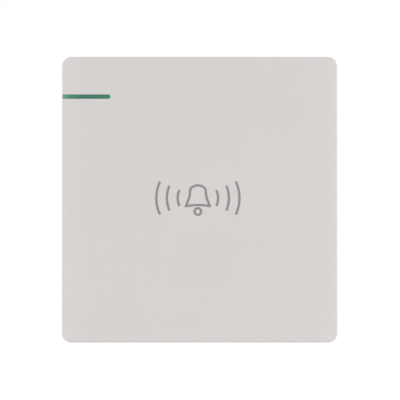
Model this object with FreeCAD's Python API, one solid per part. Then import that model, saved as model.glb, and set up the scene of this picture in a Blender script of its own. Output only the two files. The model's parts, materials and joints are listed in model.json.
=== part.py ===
import FreeCAD, Part
import math
import os

from FreeCAD import Vector

# A wall doorbell push: a full-size press plate that tilts on two trunnions near its
# top edge and drives a plunger in a small mechanism behind it. Millimetres.
# X is to the right seen from the front, Y goes into the wall and Z is up.
# The wall's surface is the plane Y = 0, and the plate faces -Y.

# Press plate
plate_width = 86.0
plate_height = 89.3
plate_corner = 3.0
plate_edge = 0.5
face_wall = 2.0
skirt_wall = 1.6
skirt_depth = 5.1
rib_thickness = 1.0
rib_height = 1.2
rib_offset = 15.0

# Tilt of the plate
press_angle = 1.7
press_clearance = 0.3
pivot_gap = 0.6
pivot_lift = 2.9
trunnion_radius = 1.1
trunnion_spare = 0.5
running_clearance = 0.05
arm_thickness = 1.8
arm_wall = 0.8
ear_thickness = 1.6
ear_wall = 0.85
ear_offset = 28.0
side_play = 0.4
snap_mouth = 1.8

# Catch hooks and bumpers at the bottom of the plate
hook_offset = 26.0
hook_width = 6.0
hook_thickness = 1.2
nose_thickness = 1.0
ledge_thickness = 1.0
ledge_reach = 0.9
hook_play = 0.2
catch_gap = 0.05
window_play = 0.5
bumper_radius = 1.6
bumper_height = 1.6
bumper_edge = 0.32
bumper_gap = 0.1
bumper_side_gap = 1.2
bumper_end_gap = 3.85
bumper_boss_wall = 0.6

# Light bar in the plate
bar_length = 15.05
bar_height = 1.25
bar_drop = 12.5
bar_side_depth = 2.6
bar_fit = 0.03
bar_flange_thickness = 0.6
bar_flange_margin = 1.0
bar_guide_depth = 1.0
guide_inset = 0.2
guide_overlap = 0.2

# Bell symbol, printed on the face. Each ripple is the X of its middle, the X of its
# ends and half its height.
ink_thickness = 0.04
stroke = 0.72
symbol_shift_x = -0.54
symbol_shift_z = 0.41
bell_crown = 3.97
bell_crown_radius = 3.3
bell_shoulder_radius = 1.5
bell_half_width = 2.45
bell_flare_radius = 7.6
bell_flare_angle = 22.0
bell_mouth_drop = 2.55
bell_mouth_rise = 0.4
clapper_radius = 1.03
clapper_drop = 4.19
ripples = [(12.98, 11.84, 5.15), (9.69, 8.89, 3.89), (6.31, 5.76, 2.5)]

# Surround frame on the wall
flange_thickness = 2.1
frame_inset = 0.3
frame_edge = 0.5
collar_gap = 0.6
collar_wall = 1.4
collar_corner = 1.0
collar_inner_corner = 0.2
window_side_margin = 1.1
window_end_margin = 1.5
window_corner = 3.0

# Support grid of sheet steel, staked into the frame's back
grid_margin = 3.35
grid_corner = 4.0
grid_thickness = 1.0
grid_recess = 0.1
grid_play = 0.1
slot_length = 7.0
slot_width = 4.2
stake_radius = 1.0
stake_head_radius = 1.8
stake_head_height = 0.7
stake_offset = 22.0
stake_edge = 2.4
hole_play = 0.05

# Fixing screws to the wall box
fixing_spacing = 60.3
fixing_radius = 1.75
fixing_neck_radius = 1.55
fixing_length = 25.0
fixing_head_radius = 3.3
fixing_head_height = 2.0
lobe_play = 1.2

# Shape of every screw, as shares of its own head and shank
head_rounding = 0.45
point_share = 0.35
cross_reach = 0.62
cross_width = 0.26
cross_depth = 0.6
slot_share = 0.3

# Small screws
thread_fit = 0.02
grid_screw_radius = 1.1
grid_screw_length = 7.0
grid_screw_head_radius = 2.1
grid_screw_head_height = 1.5
grid_screw_gap = 0.2
grid_screw_drop = 4.0
cover_screw_radius = 1.1
cover_screw_length = 8.0
cover_screw_head_radius = 2.0
cover_screw_head_height = 1.3
board_screw_radius = 0.8
board_screw_head_radius = 1.35
board_screw_head_height = 0.9
pilot_floor = 0.15
shank_play = 0.25
screw_end_play = 0.4

# Mechanism housing and cover
housing_corner = 2.0
housing_edge = 0.5
housing_inner_corner = 0.7
housing_wall = 1.6
housing_front_wall = 1.8
housing_proud = 1.1
housing_play = 0.3
lug_margin = 2.7
lug_height = 8.0
lug_thickness = 2.0
boss_wall = 1.3
boss_length = 7.0
cover_thickness = 2.0
cover_edge = 0.5
lip_depth = 1.2
lip_wall = 1.2
lip_play = 0.2
post_inset = 2.5

# Plunger, bridge and contacts
plunger_gap = 0.15
press_boss_radius = 3.2
press_boss_length = 2.4
plunger_radius = 3.0
plunger_dome = 0.6
guide_length = 4.9
guide_wall = 1.6
block_width = 10.0
block_height = 8.0
block_corner = 0.5
block_rear_wall = 1.5
block_front_wall = 1.65
slot_play = 0.2
stop_gap = 0.05
pilot_length = 2.0
stub_length = 1.2
contact_spring_length = 6.0
contact_spring_radius = 1.5
contact_spring_wire = 0.35
contact_spring_turns = 5
return_spring_length = 8.5
return_spring_radius = 2.15
return_spring_wire = 0.45
return_spring_turns = 6
spring_play = 0.3
cup_wall = 1.0
cup_depth = 2.0
rail_thickness = 1.2
rail_play = 0.15
bridge_length = 20.4
bridge_width = 4.0
bridge_thickness = 0.8
bridge_corner = 1.0
tip_offset = 8.5
tip_radius = 1.4
tip_height = 0.8
tip_edge = 0.25
contact_gap_spare = 0.05
strip_thickness = 0.8
strip_width = 5.0
strip_leg_width = 6.8
strip_margin = 0.6

# Terminals
terminal_spread = 4.5
terminal_side_gap = 3.2
cage_floor_gap = 1.8
cage_width = 8.4
cage_height = 8.4
cage_length = 7.4
cage_corner = 0.7
cage_rear_play = 0.2
cage_roof = 1.4
cage_front_wall = 1.4
tunnel_width = 4.6
clamp_floor = 1.8
clamp_thickness = 0.8
clamp_play = 0.2
wire_radius = 1.8
wire_boss_wall = 1.4
wire_boss_height = 1.5
wire_funnel = 0.6
terminal_screw_radius = 1.5
terminal_screw_lift = 2.4
terminal_head_radius = 2.3
terminal_head_height = 2.0
access_play = 0.35
shelf_rib_thickness = 1.2
shelf_rib_spread = 3.0
anvil_width = 5.0
anvil_height = 4.0
anvil_gap = 0.05

# Indicator board. A part's size is its length, height off the board and width.
board_thickness = 1.0
board_standoff = 0.5
board_height = 8.3
board_extra = 3.95
lamp_box_wall = 0.95
lamp_box_height = 3.9
lamp_inset = 0.6
led_count = 3
led_length = 2.0
led_width = 1.25
led_height = 0.8
resistor_size = (3.2, 0.6, 1.6)
diode_size = (2.7, 1.1, 1.6)
chip_gap = 0.2
lead_radius = 0.45
lead_bend = 1.6
lead_spacing = 2.6
lead_hole_play = 0.35
lead_entry_x = 11.0
lead_entry_drop = 5.0

sides = (-1, 1)

# Derived sizes of the collar inside the plate's skirt, and the place of the pivot under it
collar_inset = skirt_wall + collar_gap
collar_inner_x = plate_width / 2 - collar_inset - collar_wall
collar_inner_z = plate_height / 2 - collar_inset - collar_wall
ear_radius = trunnion_radius + running_clearance + ear_wall
arm_radius = trunnion_radius + arm_wall
pivot_z = collar_inner_z - pivot_gap - ear_radius

# Derived positions of the press plate
press_slope = math.tan(math.radians(press_angle))
bottom_throw = (pivot_z + plate_height / 2) * press_slope
shadow_gap = bottom_throw + press_clearance
flange_front = -flange_thickness
skirt_rear = flange_front - shadow_gap
face_y = skirt_rear - skirt_depth
ink_front = face_y - ink_thickness
inner_face_y = face_y + face_wall
pivot_y = flange_front - pivot_lift
plunger_travel = pivot_z * math.radians(press_angle)

# Derived places of the hooks and bumpers inside the collar
catch_throw = (pivot_z + collar_inner_z) * press_slope
catch_y = inner_face_y + press_clearance + catch_throw + ledge_thickness
hook_outer_z = -(collar_inner_z - ledge_reach - hook_play)
hook_inner_z = hook_outer_z + hook_thickness
bumper_boss_radius = bumper_radius + bumper_boss_wall
bumper_x = collar_inner_x - bumper_side_gap - bumper_boss_radius
bumper_z = -(collar_inner_z - bumper_end_gap - bumper_boss_radius)
bumper_tip = flange_front - bumper_gap - (pivot_z - bumper_z) * press_slope
bumper_root = bumper_tip - bumper_height

# Derived places of the light bar and its board
bar_z = plate_height / 2 - bar_drop
bar_end_x = bar_length - plate_width / 2
bar_flange_rear = inner_face_y + bar_flange_thickness
bar_guide_rear = bar_flange_rear + bar_guide_depth
lamp_box_x0 = -collar_inner_x + lamp_inset
lamp_box_x1 = bar_end_x + lamp_box_wall
lamp_box_front = bar_guide_rear - guide_overlap
board_rear = flange_front - board_standoff
board_front = board_rear - board_thickness
board_x1 = bar_end_x + board_extra
board_z1 = bar_z + lamp_box_height / 2 + screw_end_play
board_z0 = board_z1 - board_height
board_screw_z = board_z0 + board_screw_head_radius + screw_end_play
board_screw_x0 = lamp_box_x0 + board_screw_head_radius + screw_end_play
board_screw_x1 = lamp_box_x1 - board_screw_head_radius

# Derived sizes of the grid and of what it carries
grid_rear = -grid_recess
grid_front = grid_rear - grid_thickness
grid_size = fixing_spacing + slot_length + 2 * grid_margin
terminal_offset = tip_offset + terminal_spread
housing_inner_half = terminal_offset + cage_width / 2 + terminal_side_gap
housing_half = housing_inner_half + housing_wall
housing_size = 2 * housing_half
grid_screw_x = housing_half + grid_screw_head_radius + grid_screw_gap
grid_screw_z = housing_half - grid_screw_drop
lug_end = grid_screw_x + lug_margin
pilot_end = grid_front - pilot_floor
board_screw_tip = pilot_end - pilot_floor

# Derived places in the mechanism
housing_front = flange_front - housing_proud
housing_inner_front = housing_front + housing_front_wall
post_radius = cover_screw_radius + boss_wall
post_place = housing_inner_half - post_inset
plunger_front = inner_face_y + press_boss_length + plunger_gap
guide_rear = housing_inner_front + guide_length
block_front = guide_rear + stop_gap
slot_front = block_front + block_front_wall
bridge_front = slot_front + contact_spring_length
bridge_rear = bridge_front + bridge_thickness
block_rear = bridge_rear + block_rear_wall
spring_seat = block_rear + return_spring_length
tip_rear = bridge_rear + tip_height
fixed_tip_front = tip_rear + plunger_travel + contact_gap_spare
strip_front = fixed_tip_front + tip_height
strip_rear = strip_front + strip_thickness
cage_rear = strip_rear + cage_length
cover_front = cage_rear + cage_rear_play
cover_rear = cover_front + cover_thickness
cup_front = spring_seat - cup_depth
cup_inner_radius = return_spring_radius + return_spring_wire / 2 + spring_play

# Derived places of the terminals
cage_bottom = cage_floor_gap - housing_inner_half
cage_top = cage_bottom + cage_height
tunnel_front = strip_rear + cage_front_wall
tunnel_top = cage_top - cage_roof
tunnel_bottom = cage_bottom + clamp_floor
clamp_top = tunnel_bottom + clamp_thickness
wire_z = (tunnel_top + clamp_top) / 2
wire_boss_rear = cover_rear + wire_boss_height
terminal_y = (tunnel_front + cage_rear) / 2
terminal_head_top = cage_bottom - terminal_screw_lift
terminal_head_bottom = terminal_head_top - terminal_head_height
access_radius = terminal_head_radius + access_play


def block(x0, x1, y0, y1, z0, z1):
    return Part.makeBox(x1 - x0, y1 - y0, z1 - z0, Vector(x0, y0, z0))


def rod(radius, y0, y1, x=0.0, z=0.0):
    """A cylinder along Y."""
    return Part.makeCylinder(radius, y1 - y0, Vector(x, y0, z), Vector(0, 1, 0))


def rods(radius, y0, y1, places):
    """A cylinder along Y at each place, given as a pair of X and Z."""
    return [rod(radius, y0, y1, x, z) for x, z in places]


def rod_x(radius, x0, x1, y, z):
    return Part.makeCylinder(radius, x1 - x0, Vector(x0, y, z), Vector(1, 0, 0))


def rod_z(radius, z0, z1, x, y):
    return Part.makeCylinder(radius, z1 - z0, Vector(x, y, z0), Vector(0, 0, 1))


def taper(radius, end_radius, y0, y1, x, z):
    """A cone's slice along Y, from one radius to the other."""
    return Part.makeCone(radius, end_radius, y1 - y0, Vector(x, y0, z), Vector(0, 1, 0))


def round_along_y(shape, radius):
    """Rounds the edges that run along Y."""
    long_edges = [edge for edge in shape.Edges if edge.BoundBox.YLength > shape.BoundBox.YLength * 0.99]
    return shape.makeFillet(radius, long_edges)


def rounded_slab(width, height, corner, y0, y1, x=0.0, z=0.0):
    """A slab square to Y, its four corners rounded in the front view."""
    slab = block(x - width / 2, x + width / 2, y0, y1, z - height / 2, z + height / 2)
    return round_along_y(slab, corner)


def round_edges_at(shape, y, radius):
    """Rounds every edge that lies in the plane at this Y."""
    def lies_there(edge):
        box = edge.BoundBox
        return max(abs(box.YMin - y), abs(box.YMax - y)) < 1e-4
    return shape.makeFillet(radius, [edge for edge in shape.Edges if lies_there(edge)])


def both_sides(shape):
    """The shape and its mirror image across X = 0."""
    return [shape, shape.mirror(Vector(0, 0, 0), Vector(1, 0, 0))]


def joined(first, others):
    return first.fuse(others).removeSplitter()


def cross_screw(head_radius, head_height, radius, seat, tip, x, z):
    """A pan-head screw along Y, from its head's seat to its tip."""
    inward = 1 if tip > seat else -1
    axis = Vector(0, inward, 0)
    top = seat - inward * head_height
    head = Part.makeCylinder(head_radius, head_height, Vector(x, seat, z), -axis)
    head = round_edges_at(head, top, head_height * head_rounding)
    shoulder = tip - inward * radius
    shank = Part.makeCylinder(radius, abs(shoulder - seat), Vector(x, seat, z), axis)
    point = Part.makeCone(radius, radius * point_share, radius, Vector(x, shoulder, z), axis)
    arm = head_radius * cross_reach
    half = head_radius * cross_width / 2
    floor = top + inward * head_height * cross_depth
    y0 = min(top, floor)
    y1 = max(top, floor)
    across = block(x - arm, x + arm, y0, y1, z - half, z + half)
    upright = block(x - half, x + half, y0, y1, z - arm, z + arm)
    return joined(head, [shank, point]).cut([across, upright])


def lead(points, radius, bend):
    """A round wire along straight runs joined by tangent arcs."""
    edges = []
    start = points[0]
    for before, corner, after in zip(points, points[1:], points[2:]):
        back = Vector(before - corner).normalize()
        ahead = Vector(after - corner).normalize()
        half = back.getAngle(ahead) / 2
        arc_start = corner + back * (bend / math.tan(half))
        arc_end = corner + ahead * (bend / math.tan(half))
        middle = corner + Vector(back + ahead).normalize() * (bend / math.sin(half) - bend)
        edges.append(Part.LineSegment(start, arc_start).toShape())
        edges.append(Part.Arc(arc_start, middle, arc_end).toShape())
        start = arc_end
    edges.append(Part.LineSegment(start, points[-1]).toShape())
    ring = Part.Wire(Part.makeCircle(radius, points[0], points[1] - points[0]))
    return Part.Wire(edges).makePipeShell([ring], True, False)


def arc_middle(start, corner, end):
    """The middle of the arc that touches both legs of the corner at its ends."""
    chord_middle = (start + end) * 0.5
    cosine = (start - chord_middle).Length / (start - corner).Length
    return chord_middle + (corner - chord_middle) * (cosine / (1 + cosine))


def coil_spring(mean_radius, wire, turns, y0, y1):
    """A round-wire spring along Y, each quarter turn of its helix made of two tangent arcs."""
    first = y0 + wire / 2
    rise = (y1 - y0 - wire) / (turns * 2 * math.pi)
    edges = []

    def place(angle):
        return Vector(mean_radius * math.cos(angle), first + rise * angle, mean_radius * math.sin(angle))

    def heading(angle):
        return Vector(-mean_radius * math.sin(angle), rise, mean_radius * math.cos(angle)).normalize()

    for quarter in range(4 * turns):
        begin = quarter * math.pi / 2
        end = begin + math.pi / 2
        span = place(end) - place(begin)
        spread = 2 * (1 - heading(begin).dot(heading(end)))
        pull = span.dot(heading(begin) + heading(end))
        reach = (math.sqrt(pull * pull + spread * span.dot(span)) - pull) / spread
        near = place(begin) + heading(begin) * reach
        far = place(end) - heading(end) * reach
        joint = (near + far) * 0.5
        edges.append(Part.Arc(place(begin), arc_middle(place(begin), near, joint), joint).toShape())
        edges.append(Part.Arc(joint, arc_middle(joint, far, place(end)), place(end)).toShape())
    ring = Part.Wire(Part.makeCircle(wire / 2, place(0), heading(0)))
    return Part.Wire(edges).makePipeShell([ring], True, False)


def plate_envelope():
    """The outside of the press plate, with its rounded front edge."""
    slab = rounded_slab(plate_width, plate_height, plate_corner, face_y, skirt_rear)
    return round_edges_at(slab, face_y, plate_edge)


def bar_strip(fit):
    """The space of the light bar through the face and down the side wall."""
    half = bar_height / 2 + fit
    inner_x = -plate_width / 2 + skirt_wall
    outer_x = -plate_width / 2 - 1
    end = bar_end_x - bar_height / 2
    side_rear = face_y + bar_side_depth + fit
    face = block(outer_x, end, face_y - 1, inner_face_y, bar_z - half, bar_z + half)
    side = block(outer_x, inner_x, face_y - 1, side_rear, bar_z - half, bar_z + half)
    return joined(face, [side, rod(half, face_y - 1, inner_face_y, end, bar_z)])


def light_bar():
    half = bar_height / 2
    strip = bar_strip(0.0).common(plate_envelope())
    flange_half = half + bar_flange_margin
    flange = block(lamp_box_x0, bar_end_x + bar_flange_margin, inner_face_y, bar_flange_rear,
                   bar_z - flange_half, bar_z + flange_half)
    guide = block(lamp_box_x0 + lamp_box_wall + guide_inset, bar_end_x - guide_inset,
                  bar_flange_rear, bar_guide_rear, bar_z - half, bar_z + half)
    return joined(strip, [flange, guide])


def hinge_arm():
    """One arm of the plate, with the trunnion that points inwards into the frame's ear."""
    inner = ear_offset + ear_thickness + side_play
    outer = inner + arm_thickness
    web = block(inner, outer, inner_face_y, pivot_y, pivot_z - arm_radius, pivot_z + arm_radius)
    tip = rod_x(arm_radius, inner, outer, pivot_y, pivot_z)
    trunnion = rod_x(trunnion_radius, ear_offset - trunnion_spare, inner, pivot_y, pivot_z)
    return web.fuse([tip, trunnion])


def catch_hook():
    """One springy hook, which stops the plate from swinging out past its rest."""
    nose_end = -(collar_inner_z - hook_play)
    nose_front = catch_y + catch_gap
    nose_rear = nose_front + nose_thickness
    x0 = hook_offset - hook_width / 2
    x1 = hook_offset + hook_width / 2
    leg = block(x0, x1, inner_face_y, nose_rear, hook_outer_z, hook_inner_z)
    nose = block(x0, x1, nose_front, nose_rear, nose_end, hook_outer_z)
    return leg.fuse(nose)


def plate_ribs():
    """Two upright and two level ribs behind the face."""
    rear = inner_face_y + rib_height
    end = -lamp_box_x0
    ribs = []
    for side in sides:
        near = side * rib_offset - rib_thickness / 2
        far = near + rib_thickness
        ribs.append(block(near, far, inner_face_y, rear, hook_outer_z, board_z0))
        ribs.append(block(-end, end, inner_face_y, rear, near, far))
    return ribs


def dolly_plate():
    inside = rounded_slab(plate_width - 2 * skirt_wall, plate_height - 2 * skirt_wall,
                          plate_corner - skirt_wall, inner_face_y, skirt_rear + 1)
    press_boss = rod(press_boss_radius, inner_face_y, inner_face_y + press_boss_length)
    bumper_bosses = rods(bumper_boss_radius, inner_face_y, bumper_root, bumper_places())
    extras = [press_boss] + bumper_bosses + plate_ribs()
    extras += both_sides(hinge_arm()) + both_sides(catch_hook())
    return joined(plate_envelope().cut(inside), extras).cut(bar_strip(bar_fit))


def bumper_places():
    return [(side * bumper_x, bumper_z) for side in sides]


def dolly_bumpers():
    """Two soft pads, whose tips just clear the frame at full press."""
    pads = rods(bumper_radius, bumper_root, bumper_tip, bumper_places())
    return [round_edges_at(pad, bumper_tip, bumper_edge) for pad in pads]


def ripple(middle_x, end_x, half_height, side):
    """One ripple of the symbol: a band of constant width with square ends."""
    sag = middle_x - end_x
    radius = (sag * sag + half_height * half_height) / (2 * sag)
    centre_x = middle_x - radius
    reach = math.asin(half_height / radius)

    def on_arc(distance, angle):
        x = side * (centre_x + distance * math.cos(angle)) + symbol_shift_x
        return Vector(x, ink_front, distance * math.sin(angle) + symbol_shift_z)

    inner = radius - stroke / 2
    outer = radius + stroke / 2
    edges = [
        Part.Arc(on_arc(outer, -reach), on_arc(outer, 0), on_arc(outer, reach)).toShape(),
        Part.LineSegment(on_arc(outer, reach), on_arc(inner, reach)).toShape(),
        Part.Arc(on_arc(inner, reach), on_arc(inner, 0), on_arc(inner, -reach)).toShape(),
        Part.LineSegment(on_arc(inner, -reach), on_arc(outer, -reach)).toShape(),
    ]
    return Part.Face(Part.Wire(edges)).extrude(Vector(0, ink_thickness, 0))


def bell_outline():
    """The bell's closed line: a crown, round shoulders, flared sides and a shallow mouth."""

    def at(x, z):
        return Vector(x + symbol_shift_x, ink_front, z + symbol_shift_z)

    def arc(centre, radius, first, last, side):
        points = []
        for degrees in (first, (first + last) / 2, last):
            angle = math.radians(degrees)
            x = side * (centre[0] + radius * math.cos(angle))
            points.append(at(x, centre[1] + radius * math.sin(angle)))
        return Part.Arc(*points).toShape()

    crown_centre = (0.0, bell_crown - bell_crown_radius)
    shoulder_x = bell_half_width - bell_shoulder_radius
    centre_gap = bell_crown_radius - bell_shoulder_radius
    shoulder_centre = (shoulder_x, crown_centre[1] + math.sqrt(centre_gap ** 2 - shoulder_x ** 2))
    lean = math.degrees(math.acos(shoulder_x / centre_gap))
    flare_centre = (bell_half_width + bell_flare_radius, shoulder_centre[1])
    flare = math.radians(bell_flare_angle)
    waist_x = flare_centre[0] - bell_flare_radius * math.cos(flare)
    waist_z = flare_centre[1] - bell_flare_radius * math.sin(flare)
    corner_x = waist_x + (waist_z + bell_mouth_drop) * math.tan(flare)
    edges = [arc(crown_centre, bell_crown_radius, lean, 180 - lean, 1)]
    for side in sides:
        edges.append(arc(shoulder_centre, bell_shoulder_radius, 0, lean, side))
        edges.append(arc(flare_centre, bell_flare_radius, 180, 180 + bell_flare_angle, side))
        corner = at(side * corner_x, -bell_mouth_drop)
        edges.append(Part.LineSegment(at(side * waist_x, waist_z), corner).toShape())
    left = at(-corner_x, -bell_mouth_drop)
    right = at(corner_x, -bell_mouth_drop)
    edges.append(Part.Arc(left, at(0, bell_mouth_rise - bell_mouth_drop), right).toShape())
    line = Part.Wire(Part.__sortEdges__(edges))
    outer = Part.Face(line.makeOffset2D(stroke / 2))
    inner = Part.Face(line.makeOffset2D(-stroke / 2))
    return outer.cut(inner).extrude(Vector(0, ink_thickness, 0)).Solids[0]


def bell_symbol():
    centre_z = symbol_shift_z - clapper_drop
    clapper = rod(clapper_radius + stroke / 2, ink_front, face_y, symbol_shift_x, centre_z)
    inside = rod(clapper_radius - stroke / 2, ink_front - 1, face_y + 1, symbol_shift_x, centre_z)
    bands = [ripple(*shape, side) for shape in ripples for side in sides]
    return [bell_outline(), clapper.cut(inside)] + bands


def pressed_space():
    """What the plate's face sweeps from rest to full press, with its clearance."""
    reach = plate_height
    rest = block(-reach, reach, face_y - reach, inner_face_y + press_clearance, -reach, reach)
    pressed = rest.copy()
    pressed.rotate(Vector(0, pivot_y, pivot_z), Vector(1, 0, 0), press_angle)
    return [rest, pressed]


def bearing_ear():
    """One ear of the frame, with a bearing that is open towards the front for snapping in."""
    x0 = ear_offset
    x1 = ear_offset + ear_thickness
    web = block(x0, x1, pivot_y, flange_front, pivot_z - ear_radius, pivot_z + ear_radius)
    ear = web.fuse(rod_x(ear_radius, x0, x1, pivot_y, pivot_z))
    bearing = rod_x(trunnion_radius + running_clearance, x0 - 1, x1 + 1, pivot_y, pivot_z)
    half = snap_mouth / 2
    mouth = block(x0 - 1, x1 + 1, pivot_y - ear_radius - 1, pivot_y, pivot_z - half, pivot_z + half)
    return ear.cut([bearing, mouth])


def catch_ledge():
    x0 = hook_offset - hook_width / 2
    z0 = -collar_inner_z - collar_wall / 2
    return block(x0, x0 + hook_width, catch_y - ledge_thickness, catch_y, z0, ledge_reach - collar_inner_z)


def hook_window():
    """The opening in the flange that the hook's nose travels into."""
    half = hook_width / 2 + window_play
    top = hook_inner_z + window_play
    return block(hook_offset - half, hook_offset + half, flange_front - 1, 1, -collar_inner_z, top)


def stake_places():
    stake_z = grid_size / 2 - stake_edge
    return [(x * stake_offset, z * stake_z) for x in sides for z in sides]


def stakes(spare):
    """The countersunk stakes that hold the grid, or with a clearance the holes for them."""
    neck = grid_rear - stake_head_height
    shapes = rods(stake_radius + spare, grid_front, neck, stake_places())
    for x, z in stake_places():
        shapes.append(taper(stake_radius + spare, stake_head_radius + spare, neck, grid_rear, x, z))
    return shapes


def board_screw_places():
    return [(board_screw_x0, board_screw_z), (board_screw_x1, board_screw_z)]


def surround_collar():
    """The wall inside the plate's skirt, with the two ledges that the hooks catch."""
    outer = rounded_slab(2 * (collar_inner_x + collar_wall), 2 * (collar_inner_z + collar_wall),
                         collar_corner, inner_face_y, flange_front)
    inner = rounded_slab(2 * collar_inner_x, 2 * collar_inner_z, collar_inner_corner,
                         inner_face_y - 1, flange_front + 1)
    return outer.cut(inner).fuse(both_sides(catch_ledge())).cut(pressed_space())


def surround_frame():
    flange = rounded_slab(plate_width - 2 * frame_inset, plate_height - 2 * frame_inset,
                          plate_corner - frame_inset, flange_front, 0)
    flange = round_edges_at(flange, flange_front, frame_edge)
    window_width = 2 * (grid_screw_x + grid_screw_head_radius + window_side_margin)
    window_height = 2 * (housing_half + window_end_margin)
    window = rounded_slab(window_width, window_height, window_corner, flange_front - 1, 1)
    lobe_half = fixing_head_radius + lobe_play
    lobe_end = fixing_spacing / 2 + slot_length / 2 + lobe_play
    lobe = rounded_slab(2 * lobe_end, 2 * lobe_half, lobe_half / 2, flange_front - 1, 1)
    pocket_size = grid_size + 2 * grid_play
    pocket = rounded_slab(pocket_size, pocket_size, grid_corner + grid_play, grid_front, 1)
    frame = flange.cut([window, lobe, pocket]).fuse([surround_collar()] + both_sides(bearing_ear()))
    frame = frame.cut(both_sides(hook_window()))
    pads = rods(board_screw_head_radius, board_rear, flange_front, board_screw_places())
    shelf_z0 = board_z1 - board_screw_head_radius
    pads.append(block(lamp_box_x0, board_x1, board_rear, flange_front, shelf_z0, board_z1))
    pilot_radius = board_screw_radius + thread_fit
    pilots = rods(pilot_radius, board_rear - 1, pilot_end, board_screw_places())
    return joined(frame, stakes(0.0) + pads).cut(pilots)


def grid_screw_places():
    return [(x * grid_screw_x, z * grid_screw_z) for x in sides for z in sides]


def support_grid():
    sheet = rounded_slab(grid_size, grid_size, grid_corner, grid_front, grid_rear)
    opening = housing_size + 2 * housing_play
    cuts = [rounded_slab(opening, opening, housing_corner + housing_play, grid_front - 1, 1)]
    for side in sides:
        x = side * fixing_spacing / 2
        cuts.append(rounded_slab(slot_length, slot_width, slot_width / 2 - 0.001, grid_front - 1, 1, x))
    cuts += rods(grid_screw_radius + shank_play, grid_front - 1, 1, grid_screw_places())
    return sheet.cut(cuts + stakes(hole_play))


def fixing_screws():
    """Two screws, each with a neck under its head where it stands in the grid's slot."""
    screws = []
    for side in sides:
        x = side * fixing_spacing / 2
        screw = cross_screw(fixing_head_radius, fixing_head_height, fixing_radius,
                            grid_front, grid_front + fixing_length, x, 0.0)
        neck = rod(fixing_neck_radius, grid_front, grid_rear, x)
        screws.append(screw.cut(rod(fixing_radius + 1, grid_front, grid_rear, x).cut(neck)))
    return screws


def grid_screws():
    return [cross_screw(grid_screw_head_radius, grid_screw_head_height, grid_screw_radius,
                        grid_front, grid_front + grid_screw_length, x, z) for x, z in grid_screw_places()]


def post_places():
    return [(-post_place, post_place), (post_place, post_place), (0.0, -post_place)]


def cover_screws():
    return [cross_screw(cover_screw_head_radius, cover_screw_head_height, cover_screw_radius,
                        cover_rear, cover_rear - cover_screw_length, x, z) for x, z in post_places()]


def board_screws():
    return [cross_screw(board_screw_head_radius, board_screw_head_height, board_screw_radius,
                        board_front, board_screw_tip, x, z) for x, z in board_screw_places()]


def lead_entries():
    """Where the two leads dive through the housing's front wall, as pairs of X and Z."""
    z = housing_half - lead_entry_drop
    return [(-lead_entry_x, z), (lead_spacing - lead_entry_x, z)]


def housing_shell():
    """The open box behind the grid, with the lugs and bosses that its four screws hold."""
    shell = rounded_slab(housing_size, housing_size, housing_corner, housing_front, cover_front)
    shell = round_edges_at(shell, housing_front, housing_edge)
    lug_rear = grid_rear + lug_thickness
    lugs = [rounded_slab(2 * lug_end, lug_height, housing_corner, grid_rear, lug_rear, 0, side * grid_screw_z)
            for side in sides]
    bosses = rods(grid_screw_radius + boss_wall, grid_rear, grid_rear + boss_length, grid_screw_places())
    inner = 2 * housing_inner_half
    inside = rounded_slab(inner, inner, housing_inner_corner, housing_inner_front, cover_front + 1)
    return shell.fuse(lugs + bosses).cut(inside)


def housing_fittings():
    """The plunger's guide and rails, the shelves under the contacts and the screw posts."""
    guide_radius = plunger_radius + running_clearance + guide_wall
    fittings = [rod(guide_radius, housing_inner_front, guide_rear)]
    rail_x = block_width / 2 - rail_play
    near = block_height / 2 + rail_play
    far = near + rail_thickness
    fittings.append(block(-rail_x, rail_x, housing_inner_front, block_rear, near, far))
    fittings.append(block(-rail_x, rail_x, housing_inner_front, block_rear, -far, -near))
    for side in sides:
        for spread in (-shelf_rib_spread, shelf_rib_spread):
            x0 = side * terminal_offset + spread - shelf_rib_thickness / 2
            fittings.append(block(x0, x0 + shelf_rib_thickness, housing_inner_front, strip_front,
                                  -housing_inner_half, cage_top))
    return fittings + rods(post_radius, housing_inner_front, cover_front, post_places())


def mechanism_housing():
    cuts = [rod(plunger_radius + running_clearance, housing_front - 1, guide_rear)]
    pilot_radius = grid_screw_radius + thread_fit
    cuts += rods(pilot_radius, grid_rear - 1, grid_rear + boss_length + 1, grid_screw_places())
    post_hole_front = cover_rear - cover_screw_length - screw_end_play
    cuts += rods(cover_screw_radius + thread_fit, post_hole_front, cover_front + 1, post_places())
    cuts += rods(lead_radius + lead_hole_play, housing_front - 1, housing_inner_front, lead_entries())
    for side in sides:
        x = side * terminal_offset
        cuts.append(rod_z(access_radius, -housing_half - 1, -housing_inner_half, x, terminal_y))
    return joined(housing_shell(), housing_fittings()).cut(cuts)


def cover_lip():
    """The rim on the cover that centres it in the housing, cut away round the posts."""
    size = 2 * (housing_inner_half - lip_play)
    hole = size - 2 * lip_wall
    front = cover_front - lip_depth
    lip = rounded_slab(size, size, housing_inner_corner, front, cover_front)
    opening = rounded_slab(hole, hole, housing_inner_corner, front - 1, cover_front + 1)
    return lip.cut([opening] + rods(post_radius + lip_play, front - 1, cover_front, post_places()))


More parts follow.
